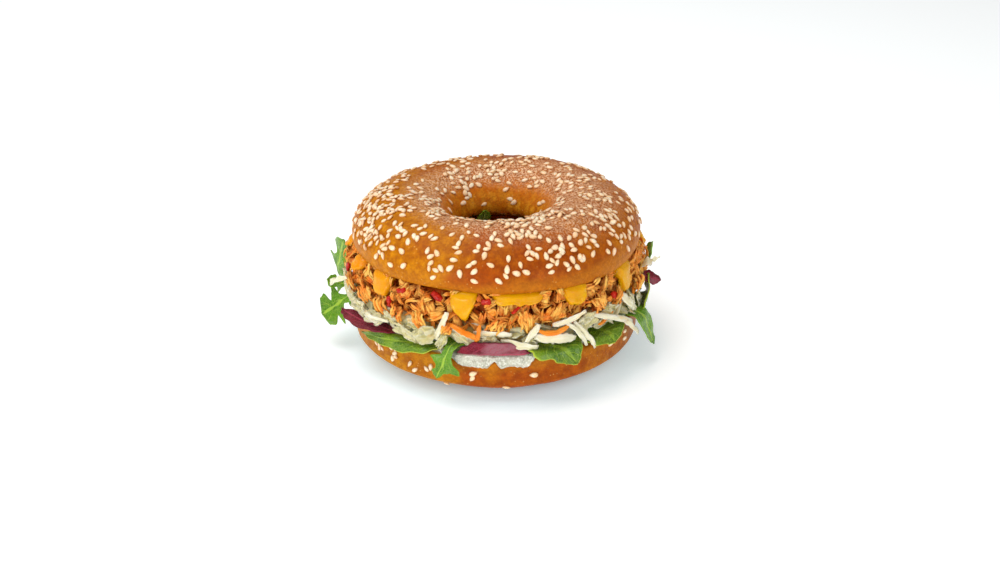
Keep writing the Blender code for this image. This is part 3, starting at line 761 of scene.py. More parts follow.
class Baked:
    """The crust: golden on the left, redder on the right, paler at its cut, and on its crest dusty with a
    painted pinkish-grey sheen.
    """

    HEEL_GOLDEN = ((0.58, 0.222, 0.004), (0.42, 0.134, 0.003))
    CROWN_GOLDEN = ((0.63, 0.228, 0.003), (0.44, 0.128, 0.002))
    BROWN = ((0.44, 0.094, 0.003), (0.28, 0.047, 0.002))
    RUDDY, PALE = (0.40, 0.066, 0.002), (0.60, 0.215, 0.008)
    HOLE, HOLE_TOP = ((0.80, 0.35, 0.018), (0.58, 0.175, 0.005)), (0.56, 0.130, 0.004)
    CREST, DUST, SCORCH = (0.56, 0.235, 0.080), (0.86, 0.54, 0.32), (0.30, 0.085, 0.018)
    FRECKLE, SHADE, CRUMB = (0.90, 0.55, 0.16), (0.22, 0.045, 0.004), (0.80, 0.62, 0.36)

    def __init__(self, name: str, cut_height: float, crumb_above: bool) -> None:
        """Builds the crust's material.

        Args:
            name: the material's name.
            cut_height: where the bun is cut level.
            crumb_above: True for the heel, whose cut face is its top.
        """
        finish = Finish(name, Shine(coat=0.03, coat_roughness=0.22, subsurface=0.03, specular=0.06))
        graph, radius = finish.graph, finish.radius()
        x, y, z = graph.parts(finish.coords)
        patches, grain = finish.mottle(14 * MM, 1.1 * MM)
        fine, specks = finish.mottle(3.2 * MM, 0.7 * MM)
        uneven = graph.minus(patches, 0.5)

        side = graph.plus(x, graph.times(uneven, 24 * MM))
        ruddy = graph.times(graph.span(side, -38 * MM, 4 * MM), graph.span(side, 22 * MM, 52 * MM, 1.0, 0.45))
        golden = graph.mix(fine, *(self.HEEL_GOLDEN if crumb_above else self.CROWN_GOLDEN))
        brown = graph.mix(fine, *self.BROWN)
        brown = graph.mix(graph.span(patches, 0.45, 1.0, 0.0, 0.5), brown, self.RUDDY)
        base = graph.mix(ruddy, golden, brown)

        band = graph.plus(graph.math("ABSOLUTE", graph.minus(z, cut_height)), graph.times(uneven, 3 * MM))
        near_cut = graph.span(band, 1.5 * MM, 6.5 * MM, 0.5, 0.0)
        pale = graph.times(near_cut, graph.span(radius, 30 * MM, 45 * MM))
        base = graph.mix(pale, base, self.PALE)

        inside = graph.times(graph.span(radius, 22 * MM, 28 * MM, 1.0, 0.0), 0.85)
        folds = graph.noise(graph.scaled(finish.coords, (1.0, 1.0, 0.42)), 2.4 * MM, 3.0, 0.6)
        inner = graph.mix(graph.span(folds, 0.36, 0.62), *self.HOLE)
        inner = graph.mix(graph.span(z, 50 * MM, 59 * MM, 0.0, 0.7), inner, self.HOLE_TOP)
        base = graph.mix(inside, base, inner)

        # painted sheen: the crest is tinted pinkish grey and flecked pale, partly dusty grain and partly the
        # sheen of light on the crust's top; the darker scorch flecks are the crust's own
        spread = graph.plus(graph.plus(radius, graph.times(x, -0.14)), graph.times(y, 0.10))
        on_top = graph.times(graph.span(radius, 20 * MM, 26 * MM), graph.span(z, 50 * MM, 58 * MM))
        crest = graph.times(graph.span(spread, 33 * MM, 46 * MM, 1.0, 0.0), on_top)
        base = graph.mix(graph.times(crest, 0.5), base, self.CREST)
        base = graph.mix(graph.times(crest, graph.span(specks, 0.3, 0.8, 0.0, 0.9)), base, self.DUST)
        base = graph.mix(graph.times(crest, graph.span(grain, 0.5, 1.0, 0.0, 0.5)), base, self.SCORCH)
        freckle = graph.span(graph.cells(finish.coords, 1 / (2.0 * MM)), 0.09, 0.19, 0.4, 0.0)
        freckle = graph.times(freckle, graph.span(patches, 0.35, 0.8, 0.15, 1.0))
        base = graph.mix(freckle, base, self.FRECKLE)
        base = graph.mix(graph.span(grain, 0.2, 1.0, 0.0, 0.28), base, self.SHADE)

        edge = 0.25 * MM
        past_cut = graph.minus(z, cut_height - edge) if crumb_above else graph.minus(cut_height + edge, z)
        in_cut = graph.times(graph.math("GREATER_THAN", past_cut, 0.0),
                             graph.span(radius, 55.2 * MM, 56.4 * MM, 1.0, 0.0))
        finish.colour(graph.mix(in_cut, base, self.CRUMB))
        finish.roughness(graph.plus(graph.span(crest, 0.0, 1.0, 0.36, 0.5), graph.times(grain, 0.10)))
        height = graph.plus(finish.moist_relief(1.6 * MM, 0.75 * MM), graph.times(specks, 0.4))
        finish.raise_by(height, 0.22 * MM, 0.9)
        self.material = finish.material


class SeedCoat:
    """Hulled sesame: ivory, some seeds warmer than others, a little toasted, with painted shade darkening
    each seed's rim.
    """

    IVORY, WARM, BRIGHT = (0.98, 0.77, 0.53), (0.92, 0.62, 0.36), (1.0, 0.88, 0.70)
    TOASTED, OUTLINE = (0.70, 0.42, 0.18), (0.62, 0.30, 0.10)

    def __init__(self) -> None:
        """Builds the seeds' material."""
        finish = Finish("sesame", Shine(0.42, subsurface=0.35, subsurface_scale=0.8 * MM,
                                        subsurface_radius=(1.0, 0.7, 0.4), specular=0.45))
        graph = finish.graph
        patches, grain = finish.mottle(2.4 * MM, 0.45 * MM)
        base = graph.mix(finish.mark("tone"), self.IVORY, self.WARM)
        base = graph.mix(graph.span(patches, 0.4, 1.0, 0.0, 0.5), base, self.BRIGHT)
        base = graph.mix(graph.span(grain, 0.5, 1.0, 0.0, 0.25), base, self.TOASTED)
        # painted shade: each seed darkens towards its rim, where it meets the crust
        base = graph.mix(graph.span(finish.mark("rise"), 0.15, 0.8, 0.85, 0.0), base, self.OUTLINE)
        finish.colour(base)
        finish.raise_by(finish.moist_relief(0.7 * MM, 0.4 * MM), 0.06 * MM, 0.6)
        self.material = finish.material


class SoftCheese:
    """White soft cheese, faintly cool, crumbly and moist."""

    WHITE, SHADED, CRUMBS = (0.63, 0.62, 0.50), (0.49, 0.485, 0.375), (0.84, 0.84, 0.74)

    def __init__(self) -> None:
        """Builds the soft cheese's material."""
        finish = Finish("soft cheese", Shine(0.38, coat=0.12, subsurface=0.20, subsurface_scale=1.2 * MM,
                                             subsurface_radius=(1.0, 0.9, 0.75)))
        graph = finish.graph
        patches, grain = finish.mottle(5 * MM, 0.8 * MM)
        base = graph.mix(patches, self.WHITE, self.SHADED)
        finish.colour(graph.mix(graph.span(grain, 0.4, 0.9, 0.0, 0.7), base, self.CRUMBS))
        finish.raise_by(finish.moist_relief(1.5 * MM, 0.8 * MM), 0.5 * MM, 1.0)
        self.material = finish.material


class MeltedCheese:
    """Bright melted cheese, glossy, deeper to the left and yellower low down on its drips."""

    BRIGHT = ((0.74, 0.365, 0.001), (0.69, 0.30, 0.001))
    DEEP = ((0.81, 0.33, 0.003), (0.75, 0.255, 0.002))
    LOW = (0.84, 0.44, 0.002)

    def __init__(self) -> None:
        """Builds the melted cheese's material."""
        finish = Finish("melted cheese", Shine(
            coat=0.06, coat_roughness=0.10, specular=0.14, subsurface=0.25, subsurface_scale=2.0 * MM,
            subsurface_radius=(1.0, 0.45, 0.06)))
        graph = finish.graph
        x, _, z = graph.parts(finish.coords)
        patches, grain = finish.mottle(6 * MM, 1.2 * MM)
        to_left = graph.span(x, -52 * MM, -28 * MM, 1.0, 0.0)
        base = graph.mix(to_left, graph.mix(patches, *self.BRIGHT), graph.mix(patches, *self.DEEP))
        low = graph.span(z, LAYERS.cheese_low - 8 * MM, LAYERS.cheese_low, 0.35, 0.0)
        finish.colour(graph.mix(low, base, self.LOW))
        finish.roughness(graph.span(grain, 0.0, 1.0, 0.18, 0.32))
        finish.raise_by(finish.moist_relief(3.0 * MM, 1.6 * MM), 0.12 * MM, 0.5)
        self.material = finish.material


class Meat:
    """Pulled chicken in sauce: pale orange fibres with painted highlights on their ridges and painted shade
    in their grooves, brown in the depths as painted shade with some pooled sauce; the packed core behind is
    coloured dark as painted shade.
    """

    PACKED, PACKED_GRAIN = ((0.52, 0.085, 0.004), (0.26, 0.030, 0.002)), (0.60, 0.16, 0.014)
    PALE, SAUCED = ((1.0, 0.60, 0.13), (1.0, 0.27, 0.006)), ((1.0, 0.29, 0.006), (0.86, 0.105, 0.002))
    RIDGE, GROOVE, HOLLOW = (1.0, 0.68, 0.21), (0.62, 0.120, 0.004), (0.46, 0.042, 0.002)

    def __init__(self, name: str, deep: bool) -> None:
        """Builds the meat's material.

        Args:
            name: the material's name.
            deep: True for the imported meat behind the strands.
        """
        finish = Finish(name, Shine(coat=0.02, specular=0.06, subsurface=0.08, subsurface_scale=1.2 * MM,
                                    subsurface_radius=(1.0, 0.4, 0.12)))
        graph, tone = finish.graph, finish.mark("tone")
        patches, grain = finish.mottle(5 * MM, 0.8 * MM)
        shift = graph.node("ShaderNodeCombineXYZ", {0: graph.times(tone, 37.0)}).outputs[0]
        streaks = graph.vector("ADD", graph.scaled(finish.uv(), (1.6, 14.0, 1.0)), shift)
        fibre = graph.noise_at(streaks, 1.0, 3.0, 0.6)
        if deep:
            # painted shade: the packed core behind the strands is coloured dark, for the shade in the gaps
            # between them
            base = graph.mix(patches, *self.PACKED)
            base = graph.mix(graph.span(grain, 0.5, 1.0, 0.0, 0.45), base, self.PACKED_GRAIN)
        else:
            base = graph.mix(graph.span(patches, 0.3, 0.9, 0.0, 0.8), graph.mix(tone, *self.PALE),
                             graph.mix(tone, *self.SAUCED))
            # painted highlight on the fibres' raised ridges and painted shade in their sunk grooves,
            # following the fibre pattern of the bump, over some real fibre tone
            base = graph.mix(graph.span(fibre, 0.35, 0.75, 0.0, 0.5), base, self.RIDGE)
            base = graph.mix(graph.span(fibre, 0.1, 0.4, 0.4, 0.0), base, self.GROOVE)
            # painted shade: strands darken and redden the nearer they lie to the axis, for the shade deep in
            # the heap, with some pooled sauce there
            hollow = graph.span(finish.radius(), 54.6 * MM, 57.4 * MM, 0.75, 0.0)
            base = graph.mix(hollow, base, self.HOLLOW)
        finish.colour(base)
        finish.roughness(graph.span(grain, 0.0, 1.0, 0.26, 0.46))
        height = graph.plus(graph.times(fibre, 1.2), finish.moist_relief(1.4 * MM, 0.7 * MM))
        finish.raise_by(height, 0.30 * MM, 0.9)
        self.material = finish.material


class Pepper:
    """Bits of red pepper, wet and bright."""

    RED, FLECK = ((0.54, 0.012, 0.003), (0.36, 0.004, 0.002)), (0.80, 0.10, 0.03)

    def __init__(self) -> None:
        """Builds the pepper's material."""
        finish = Finish("red pepper", Shine(0.22, coat=0.12, coat_roughness=0.08, specular=0.16,
                                            subsurface=0.05, subsurface_radius=(1.0, 0.1, 0.05)))
        graph = finish.graph
        patches, grain = finish.mottle(3 * MM, 0.6 * MM)
        base = graph.mix(patches, *self.RED)
        finish.colour(graph.mix(graph.span(grain, 0.5, 1.0, 0.0, 0.3), base, self.FLECK))
        finish.raise_by(finish.moist_relief(1.2 * MM, 0.6 * MM), 0.1 * MM, 0.6)
        self.material = finish.material


class ShredTone(Enum):
    """Parts of the slaw: name, two body colours, the fibres' colour and how much light goes through."""

    CABBAGE = ("cabbage", (0.82, 0.75, 0.50), (0.68, 0.58, 0.30), (0.94, 0.90, 0.70), 0.4)
    FLAKE = ("cabbage leaf", (0.97, 0.90, 0.56), (0.88, 0.80, 0.34), (1.0, 0.97, 0.76), 0.40)
    CARROT = ("carrot", (0.80, 0.21, 0.010), (0.70, 0.145, 0.005), (0.90, 0.34, 0.04), 0.25)
    DRESSED = ("dressed slaw", (0.80, 0.52, 0.16), (0.62, 0.35, 0.07), (0.92, 0.74, 0.34), 0.25)


class Shredded:
    """Cut cabbage or carrot: a body colour with paler patches, a touch of sauce, paler edges and fine
    lengthways fibres.
    """

    SAUCE = (0.95, 0.50, 0.10)

    def __init__(self, tone: ShredTone) -> None:
        """Builds a tone's material.

        Args:
            tone: which part of the slaw it is for.
        """
        name, light, dark, vein, clear = tone.value
        finish = Finish(name, Shine(
            coat=0.06, coat_roughness=0.1, specular=0.16, subsurface=clear, subsurface_scale=2.5 * MM,
            subsurface_radius=(1.0, 0.9, 0.6)))
        graph, uv = finish.graph, finish.uv()
        patches, grain = finish.mottle(4 * MM, 0.7 * MM)
        base = graph.mix(finish.mark("tone"), light, dark)
        base = graph.mix(graph.span(patches, 0.3, 1.0, 0.0, 0.4), base, light)
        sauce = graph.span(graph.noise(finish.coords, 7 * MM), 0.56, 0.72, 0.0, 0.5)
        base = graph.mix(sauce, base, self.SAUCE)
        fibre = graph.noise_at(graph.scaled(uv, (1.2, 9.0, 1.0)), 1.0)
        base = graph.mix(graph.span(fibre, 0.42, 0.66, 0.0, 0.7), base, vein)
        _, around, _ = graph.parts(uv)
        sides = graph.math("ABSOLUTE", graph.math("COSINE", graph.times(around, math.tau)))
        finish.colour(graph.mix(graph.span(sides, 0.75, 1.0, 0.0, 0.7), base, vein))
        finish.roughness(graph.span(grain, 0.0, 1.0, 0.2, 0.38))
        height = graph.plus(graph.times(fibre, 0.8), finish.moist_relief(1.6 * MM, 0.8 * MM))
        finish.raise_by(height, 0.16 * MM, 0.7)
        self.material = finish.material


class LeafTone(Enum):
    """The leaves' colours: blade, darker blade, vein and rim."""

    ROCKET = ((0.120, 0.300, 0.006), (0.058, 0.180, 0.004), (0.38, 0.56, 0.05), (0.22, 0.41, 0.015))
    SPINACH = ((0.150, 0.265, 0.005), (0.050, 0.138, 0.003), (0.36, 0.52, 0.035), (0.54, 0.64, 0.04))
    DEEP = ((0.045, 0.150, 0.014), (0.018, 0.075, 0.008), (0.12, 0.28, 0.04), (0.10, 0.22, 0.03))
    RED = ((0.210, 0.004, 0.017), (0.105, 0.002, 0.010), (0.44, 0.05, 0.09), (0.14, 0.006, 0.016))


class LeafFinish:
    """A salad leaf: mottled blade, pale midrib, side veins and a thin bright rim."""

    GREEN_SHINE = Shine(coat=0.12, coat_roughness=0.14, specular=0.3, subsurface=0.10,
                        subsurface_scale=0.8 * MM, subsurface_radius=(0.5, 1.0, 0.2), sheen=0.02,
                        sheen_tint=(0.8, 1.0, 0.7))
    RED_SHINE = replace(GREEN_SHINE, coat=0.04, specular=0.15, sheen=0.08, sheen_tint=(0.85, 0.55, 0.7))
    BLOOM = (0.35, 0.140, 0.165)

    @classmethod
    @cache
    def of(cls, tone: LeafTone) -> Material:
        """A tone's material, built the first time that it is asked for.

        Args:
            tone: the leaf's colours.

        Returns:
            The material.
        """
        blade, dark, vein, rim = tone.value
        red = tone is LeafTone.RED
        finish = Finish(f"leaf {tone.name.lower()}", cls.RED_SHINE if red else cls.GREEN_SHINE)
        graph = finish.graph
        patches, grain = finish.mottle(6 * MM, 0.9 * MM)
        veins = finish.group(ShaderGroups.leaf_veins(), finish.uv(), Count=7.0, Lean=2.2, Rib=0.14)
        base = graph.mix(patches, blade, dark)
        base = graph.mix(graph.span(grain, 0.4, 1.0, 0.0, 0.3), base, blade)
        if red:
            # painted sheen: a pale mauve sheen in patches on the red leaves at the front, weaker on those to
            # the left
            bloom = graph.span(graph.noise(finish.coords, 8 * MM), 0.42, 0.60, 0.0, 0.75)
            from_left = graph.span(graph.parts(finish.coords)[0], -30 * MM, -20 * MM, 0.12, 1.0)
            base = graph.mix(graph.times(bloom, from_left), base, cls.BLOOM)
        edges = graph.cells(finish.coords, 1 / (1.3 * MM), "DISTANCE_TO_EDGE")
        net = graph.span(edges, 0.02, 0.09, 0.28, 0.0)
        rib = 0.45 if tone is LeafTone.SPINACH else 0.8
        base = graph.mix(net, base, vein)
        base = graph.mix(graph.times(veins["Veins"], 0.45), base, vein)
        base = graph.mix(graph.times(veins["Rib"], rib), base, vein)
        finish.colour(graph.mix(graph.times(veins["Rim"], 0.8), base, rim))
        finish.roughness(graph.span(grain, 0.0, 1.0, 0.26, 0.44))
        sunk = graph.times(graph.math("MAXIMUM", veins["Veins"], veins["Rib"]), -1.0)
        height = graph.plus(graph.plus(sunk, graph.times(net, -1.6)), graph.times(patches, 0.8))
        finish.raise_by(height, 0.22 * MM, 0.8)
        return finish.material


class TableTop:
    """A plain pale floor that glows faintly, except close under the sandwich, where the fading glow is a
    painted contact shadow and a cooler colour cancels the bun's orange bounce light.
    """

    PALE, NEAR = (0.90, 0.93, 0.93), (0.80, 0.93, 0.98)
    GLOW, NEAR_GLOW, GLOW_STRENGTH = (0.75, 0.75, 0.75), (0.61, 0.82, 0.88), 0.40

    def __init__(self) -> None:
        """Builds the floor's material."""
        finish = Finish("table", Shine(0.7, specular=0.1))
        graph, radius = finish.graph, finish.radius()
        # cooler near the sandwich, to cancel the orange light that the bun throws on the floor
        near = graph.span(radius, 52 * MM, 78 * MM, 1.0, 0.0)
        finish.colour(graph.mix(near, self.PALE, self.NEAR))
        # painted contact shadow: the glow fades close under the sandwich
        fade = graph.span(radius, 43 * MM, 55 * MM, 0.25, 1.0)
        glow = graph.mix(fade, (0.0, 0.0, 0.0), graph.mix(near, self.GLOW, self.NEAR_GLOW))
        graph.feed(finish.shader.inputs["Emission Color"], glow)
        graph.feed(finish.shader.inputs["Emission Strength"], self.GLOW_STRENGTH)
        self.material = finish.material


# Geometry trees

class GeometryTree:
    """A Geometry Nodes tree with named inputs, put on an object and turned into a plain mesh."""

    def __init__(self, name: str, sockets: Sequence[tuple[str, str]]) -> None:
        """Starts the tree with a geometry input and output and the named inputs.

        Args:
            name: the tree's name.
            sockets: names and socket types of its inputs.
        """
        self.tree = bpy.data.node_groups.new(name, "GeometryNodeTree")
        face = self.tree.interface
        face.new_socket(name="Geometry", in_out="INPUT", socket_type="NodeSocketGeometry")
        face.new_socket(name="Geometry", in_out="OUTPUT", socket_type="NodeSocketGeometry")
        self.identifiers = {
            label: face.new_socket(name=label, in_out="INPUT", socket_type=kind).identifier
            for label, kind in sockets
        }
        self.graph = Graph(self.tree)
        self.given = self.graph.node("NodeGroupInput").outputs
        self.out = self.graph.node("NodeGroupOutput")

    def end(self, geometry: Socket, finish: Socket) -> None:
        """Realizes what was made and gives it its material.

        Args:
            geometry: what the tree made.
            finish: the material that it is given.
        """
        real = self.graph.node("GeometryNodeRealizeInstances", {"Geometry": geometry}).outputs[0]
        dressed = self.graph.node("GeometryNodeSetMaterial", {"Geometry": real, "Material": finish})
        self.graph.feed(self.out.inputs[0], dressed.outputs[0])

    def mesh(self, source: Mesh, values: dict[str, object]) -> Mesh:
        """Runs the tree on a mesh.

        Args:
            source: the mesh that it starts from, which is left as it is.
            values: the named inputs' values.

        Returns:
            A plain mesh of what the tree makes.
        """
        carrier = linked("carrier", source.copy())
        modifier = carrier.modifiers.new(self.tree.name, "NODES")
        modifier.node_group = self.tree
        for label, value in values.items():
            modifier[self.identifiers[label]] = value
        return applied(carrier)

    def marked(self, name: str) -> Socket:
        """A number stored on the mesh's vertices under a name."""
        made = self.graph.node("GeometryNodeInputNamedAttribute", {"Name": name}, data_type="FLOAT")
        return made.outputs["Attribute"]

    def wander(self, size: Socket, detail: float) -> Socket:
        """Noise about zero over the surface.

        Args:
            size: the size of its features.
            detail: how many finer layers it has.

        Returns:
            The noise.
        """
        place = self.graph.node("GeometryNodeInputPosition").outputs[0]
        scale = self.graph.math("DIVIDE", 1.0, size)
        return self.graph.minus(self.graph.noise_at(place, scale, detail), 0.5)


class CrustRelief(GeometryTree):
    """Pushes a crust in and out: broad swells, and wrinkles where the mesh is marked as wrinkled."""

    def __init__(self) -> None:
        """Builds the tree."""
        number = "NodeSocketFloat"
        super().__init__("crust relief", [
            ("Swell", number), ("Swell Size", number), ("Wrinkle", number), ("Wrinkle Size", number),
            ("Finish", "NodeSocketMaterial"),
        ])
        graph, given = self.graph, self.given
        swell = graph.times(self.wander(given["Swell Size"], 2.0), given["Swell"])
        wrinkle = graph.times(self.wander(given["Wrinkle Size"], 3.0), given["Wrinkle"])
        height = graph.plus(swell, graph.times(wrinkle, self.marked("wrinkled")))
        height = graph.times(height, self.marked("free"))
        normal = graph.node("GeometryNodeInputNormal").outputs["Normal"]
        offset = graph.node("ShaderNodeVectorMath", {0: normal, "Scale": height}, operation="SCALE")
        moved = graph.node("GeometryNodeSetPosition", {
            "Geometry": given["Geometry"], "Offset": offset.outputs[0],
        })
        self.end(moved.outputs[0], given["Finish"])


class Scatter(GeometryTree):
    """Lays pieces picked at random over a surface, thickly where it is marked with cover.

    A piece's own X lies along the surface and its Z stands off it. Flow turns neighbours alike, and
    Spin turns each one on its own.
    """

    def __init__(self) -> None:
        """Builds the tree."""
        number = "NodeSocketFloat"
        super().__init__("scatter", [
            ("Pieces", "NodeSocketCollection"), ("Finish", "NodeSocketMaterial"),
            ("Density", number), ("Spacing", number), ("Seed", "NodeSocketInt"),
            ("Flow", number), ("Flow Size", number), ("Spin", number), ("Lean", number),
            ("Lift Low", number), ("Lift High", number), ("Small", number), ("Large", number),
        ])
        graph, given = self.graph, self.given
        spots = graph.node("GeometryNodeDistributePointsOnFaces", {
            "Mesh": given["Geometry"], "Distance Min": given["Spacing"],
            "Density Max": given["Density"], "Density Factor": self.marked("cover"),
            "Seed": given["Seed"],
        }, distribute_method="POISSON")
        picked = graph.node("GeometryNodeCollectionInfo", {
            "Collection": given["Pieces"], "Separate Children": True, "Reset Children": True,
        })
        laid = graph.node("GeometryNodeInstanceOnPoints", {
            "Points": spots.outputs["Points"], "Instance": picked.outputs[0], "Pick Instance": True,
            "Instance Index": self._random(0, 1000, 1, "INT"), "Rotation": self._rotation(spots),
            "Scale": self._random(given["Small"], given["Large"], 2),
        })
        lift = graph.node("ShaderNodeCombineXYZ", {
            "Z": self._random(given["Lift Low"], given["Lift High"], 3),
        })
        lifted = graph.node("GeometryNodeTranslateInstances", {
            "Instances": laid.outputs[0], "Translation": lift.outputs[0], "Local Space": True,
        })
        toned = graph.node("GeometryNodeStoreNamedAttribute", {
            "Geometry": lifted.outputs[0], "Name": "tone", "Value": self._random(0.0, 1.0, 4),
        }, data_type="FLOAT", domain="INSTANCE")
        self.end(toned.outputs[0], given["Finish"])

    def _random(self, low: object, high: object, shift: int, kind: str = "FLOAT") -> Socket:
        """A random number for each piece, different for each shift of the seed.

        Args:
            low: the least.
            high: the greatest.
            shift: keeps this draw apart from the others.
            kind: FLOAT or INT.

        Returns:
            The number.
        """
        seed = self.graph.plus(self.given["Seed"], float(shift))
        made = self.graph.node("FunctionNodeRandomValue", data_type=kind)
        wanted = {"FLOAT": "VALUE", "INT": "INT"}[kind]
        bounds = [socket for socket in made.inputs if socket.type == wanted and socket.name in ("Min", "Max")]
        self.graph.feed(bounds[0], low)
        self.graph.feed(bounds[1], high)
        self.graph.feed(made.inputs["Seed"], seed)
        return next(socket for socket in made.outputs if socket.type == wanted and socket.enabled)

    def _either_way(self, most: Socket, shift: int) -> Socket:
        """A random number for each piece, between minus the most and the most."""
        return self._random(self.graph.times(most, -1.0), most, shift)

    def _rotation(self, spots: bpy.types.Node) -> Socket:
        """Each piece's turn: level along the surface, then spun about its normal and leaned off it.

        Args:
            spots: the node that spread the points.

        Returns:
            The rotation.
        """
        graph, given = self.graph, self.given
        place = graph.node("GeometryNodeInputPosition").outputs[0]
        level = graph.node("ShaderNodeVectorMath", {0: (0.0, 0.0, 1.0), 1: place}, operation="CROSS_PRODUCT")
        facing = graph.node("FunctionNodeAxesToRotation", {
            "Primary Axis": spots.outputs["Normal"], "Secondary Axis": level.outputs[0],
        }, primary_axis="Z", secondary_axis="X")
        flow = graph.times(self.wander(given["Flow Size"], 1.0), given["Flow"])
        spin = graph.plus(flow, self._either_way(given["Spin"], 5))
        lean = self._either_way(given["Lean"], 6)
        roll = self._either_way(given["Lean"], 7)
        turn = graph.node("ShaderNodeCombineXYZ", {"X": roll, "Y": lean, "Z": spin}).outputs[0]
        local = graph.node("FunctionNodeEulerToRotation", {"Euler": turn}).outputs[0]
        turned = graph.node("FunctionNodeRotateRotation", {
            "Rotation": facing.outputs[0], "Rotate By": local,
        }, rotation_space="LOCAL")
        return turned.outputs[0]


@dataclass(frozen=True)
class Spread:
    """How a Scatter lays its pieces: lengths in metres, angles in degrees, density to the square metre."""

    density: float
    spacing: float
    seed: int
    flow: float = 0.0
    flow_size: float = 12.0 * MM
    spin: float = 180.0
    lean: float = 0.0
    lift: tuple[float, float] = (0.0, 0.0)
    size: tuple[float, float] = (0.9, 1.1)

    def values(self, pieces: bpy.types.Collection, finish: Material) -> dict[str, object]:
        """The tree's inputs.

        Args:
            finish: the pieces' material.

        Returns:
            Values by input name.
        """
        return {
            "Pieces": pieces, "Finish": finish, "Density": self.density, "Spacing": self.spacing,
            "Seed": self.seed, "Flow": math.radians(self.flow), "Flow Size": self.flow_size,
            "Spin": math.radians(self.spin), "Lean": math.radians(self.lean),
            "Lift Low": self.lift[0], "Lift High": self.lift[1],
            "Small": self.size[0], "Large": self.size[1],
        }


class Kit:
    """Loose pieces for a Scatter to pick from, kept in a collection that is never shown."""

    def __init__(self, name: str, meshes: Sequence[Mesh]) -> None:
        """Args:
            meshes: the loose pieces.
        """
        self.collection = bpy.data.collections.new(name)
        self.objects = []
        for index, mesh in enumerate(meshes):
            mesh.shade_smooth()
            made = bpy.data.objects.new(f"{name} {index}", mesh)
            self.collection.objects.link(made)
            self.objects.append(made)

    def clear(self) -> None:
        for made in self.objects:
            bpy.data.objects.remove(made)
        bpy.data.collections.remove(self.collection)


# Loose pieces

def strip_mesh(name: str, path: Sequence[Vector], faces_out: Sequence[Vector], width: float,
               depth: float, sides: int, end_share: float, rough: float, seed: int) -> Mesh:
    """A bent strip of food with rounded edges and tapering ends.

    Args:
        name: the mesh's name.
        path: points along its middle.
        faces_out: the way that its flat face looks at each point.
        width, depth: its full size across and through.
        sides: points round its section.
        end_share: its size at the very ends, as a share of the middle's.
        rough: how uneven its section is, as a share.
        seed: sets that unevenness.

    Returns:
        A closed mesh with a UV map, U along it in centimetres and V round it.
    """
    draw = random.Random(seed)
    count = len(path)
    ridges = [draw.uniform(1 - rough, 1 + rough) for _ in range(sides)]
    bm = bmesh.new()
    uv_layer = bm.loops.layers.uv.new("UVMap")
    rings, lengths, travelled = [], [], 0.0
    for index, here in enumerate(path):
        before, after = path[max(0, index - 1)], path[min(count - 1, index + 1)]
        if index:
            travelled += (here - path[index - 1]).length
        lengths.append(travelled)
        along = (after - before).normalized()
        out = (faces_out[index] - along * faces_out[index].dot(along)).normalized()
        side = along.cross(out)
        share = index / (count - 1)
        taper = end_share + (1 - end_share) * min(1.0, 3.2 * min(share, 1 - share)) ** 0.6
        taper *= draw.uniform(1 - rough / 2, 1 + rough / 2)
        ring = []
        for corner in range(sides):
            turn = math.tau * corner / sides
            swell = ridges[corner] * taper
            across = math.copysign(abs(math.cos(turn)) ** 0.75, math.cos(turn)) * width / 2 * swell
            through = math.copysign(abs(math.sin(turn)) ** 0.75, math.sin(turn)) * depth / 2 * swell
            ring.append(bm.verts.new(here + side * across + out * through))
        rings.append(ring)
    for index in range(count - 1):
        for corner in range(sides):
            beside = (corner + 1) % sides
            face = bm.faces.new((
                rings[index][corner], rings[index][beside],
                rings[index + 1][beside], rings[index + 1][corner],
            ))
            spots = ((index, corner), (index, corner + 1), (index + 1, corner + 1), (index + 1, corner))
            for loop, (row, turn) in zip(face.loops, spots):
                loop[uv_layer].uv = (lengths[row] * 100, turn / sides)
    bm.faces.new(rings[0])
    bm.faces.new(rings[-1])
    bmesh.ops.recalc_face_normals(bm, faces=bm.faces[:])
    return mesh_from(bm, name)


def bent_path(length: float, bends: Sequence[float], count: int) -> list[Vector]:
    """A path along X whose heading swings through the bends, in degrees, centred on the origin.

    Args:
        length: the path's length.
        bends: headings to pass through, evenly spaced.
        count: how many points it has.

    Returns:
        The points.
    """
    point, heading = Vector((0.0, 0.0, 0.0)), 0.0
    path = [point.copy()]
    for index in range(count - 1):
        share = index / (count - 1) * (len(bends) - 1)
        low = int(share)
        high = min(low + 1, len(bends) - 1)
        heading = math.radians(bends[low] + (bends[high] - bends[low]) * (share - low))
        point = point + Vector((math.cos(heading), math.sin(heading), 0.0)) * length / (count - 1)
        path.append(point.copy())
    middle = sum(path, Vector()) / len(path)
    return [place - middle for place in path]


# The bun's pieces

@dataclass
class Seeding:
    """Where the sesame lies: an even share, and clusters of (azimuth, share, spread in mm, strength)."""

    even: float
    clusters: Sequence[tuple[float, float, float, float]] = ()
    clump_size: float = 4.2 * MM

    def cover(self, places: Points, section: Callable[[float], tuple[float, float]]) -> np.ndarray:
        """How thickly seeds lie at each place, before its edges are thinned.

        Args:
            places: the crust's vertices.
            section: gives (radius, height) on the crust for a share of its section.

        Returns:
            A number for each place, 0 for bare crust and 1 for a full layer.
        """
        thick = np.full(len(places), self.even)
        for azimuth, share, spread, strength in self.clusters:
            centre = np.array(polar(azimuth, *section(share)))
            away = np.linalg.norm(places - centre, axis=1)
            thick += strength * np.exp(-((away / (spread * MM)) ** 2))
        clump = np.clip(0.5 + 1.6 * relief(places, self.clump_size, 3.0), 0, 1.3)
        return thick * (0.35 + 1.1 * clump)


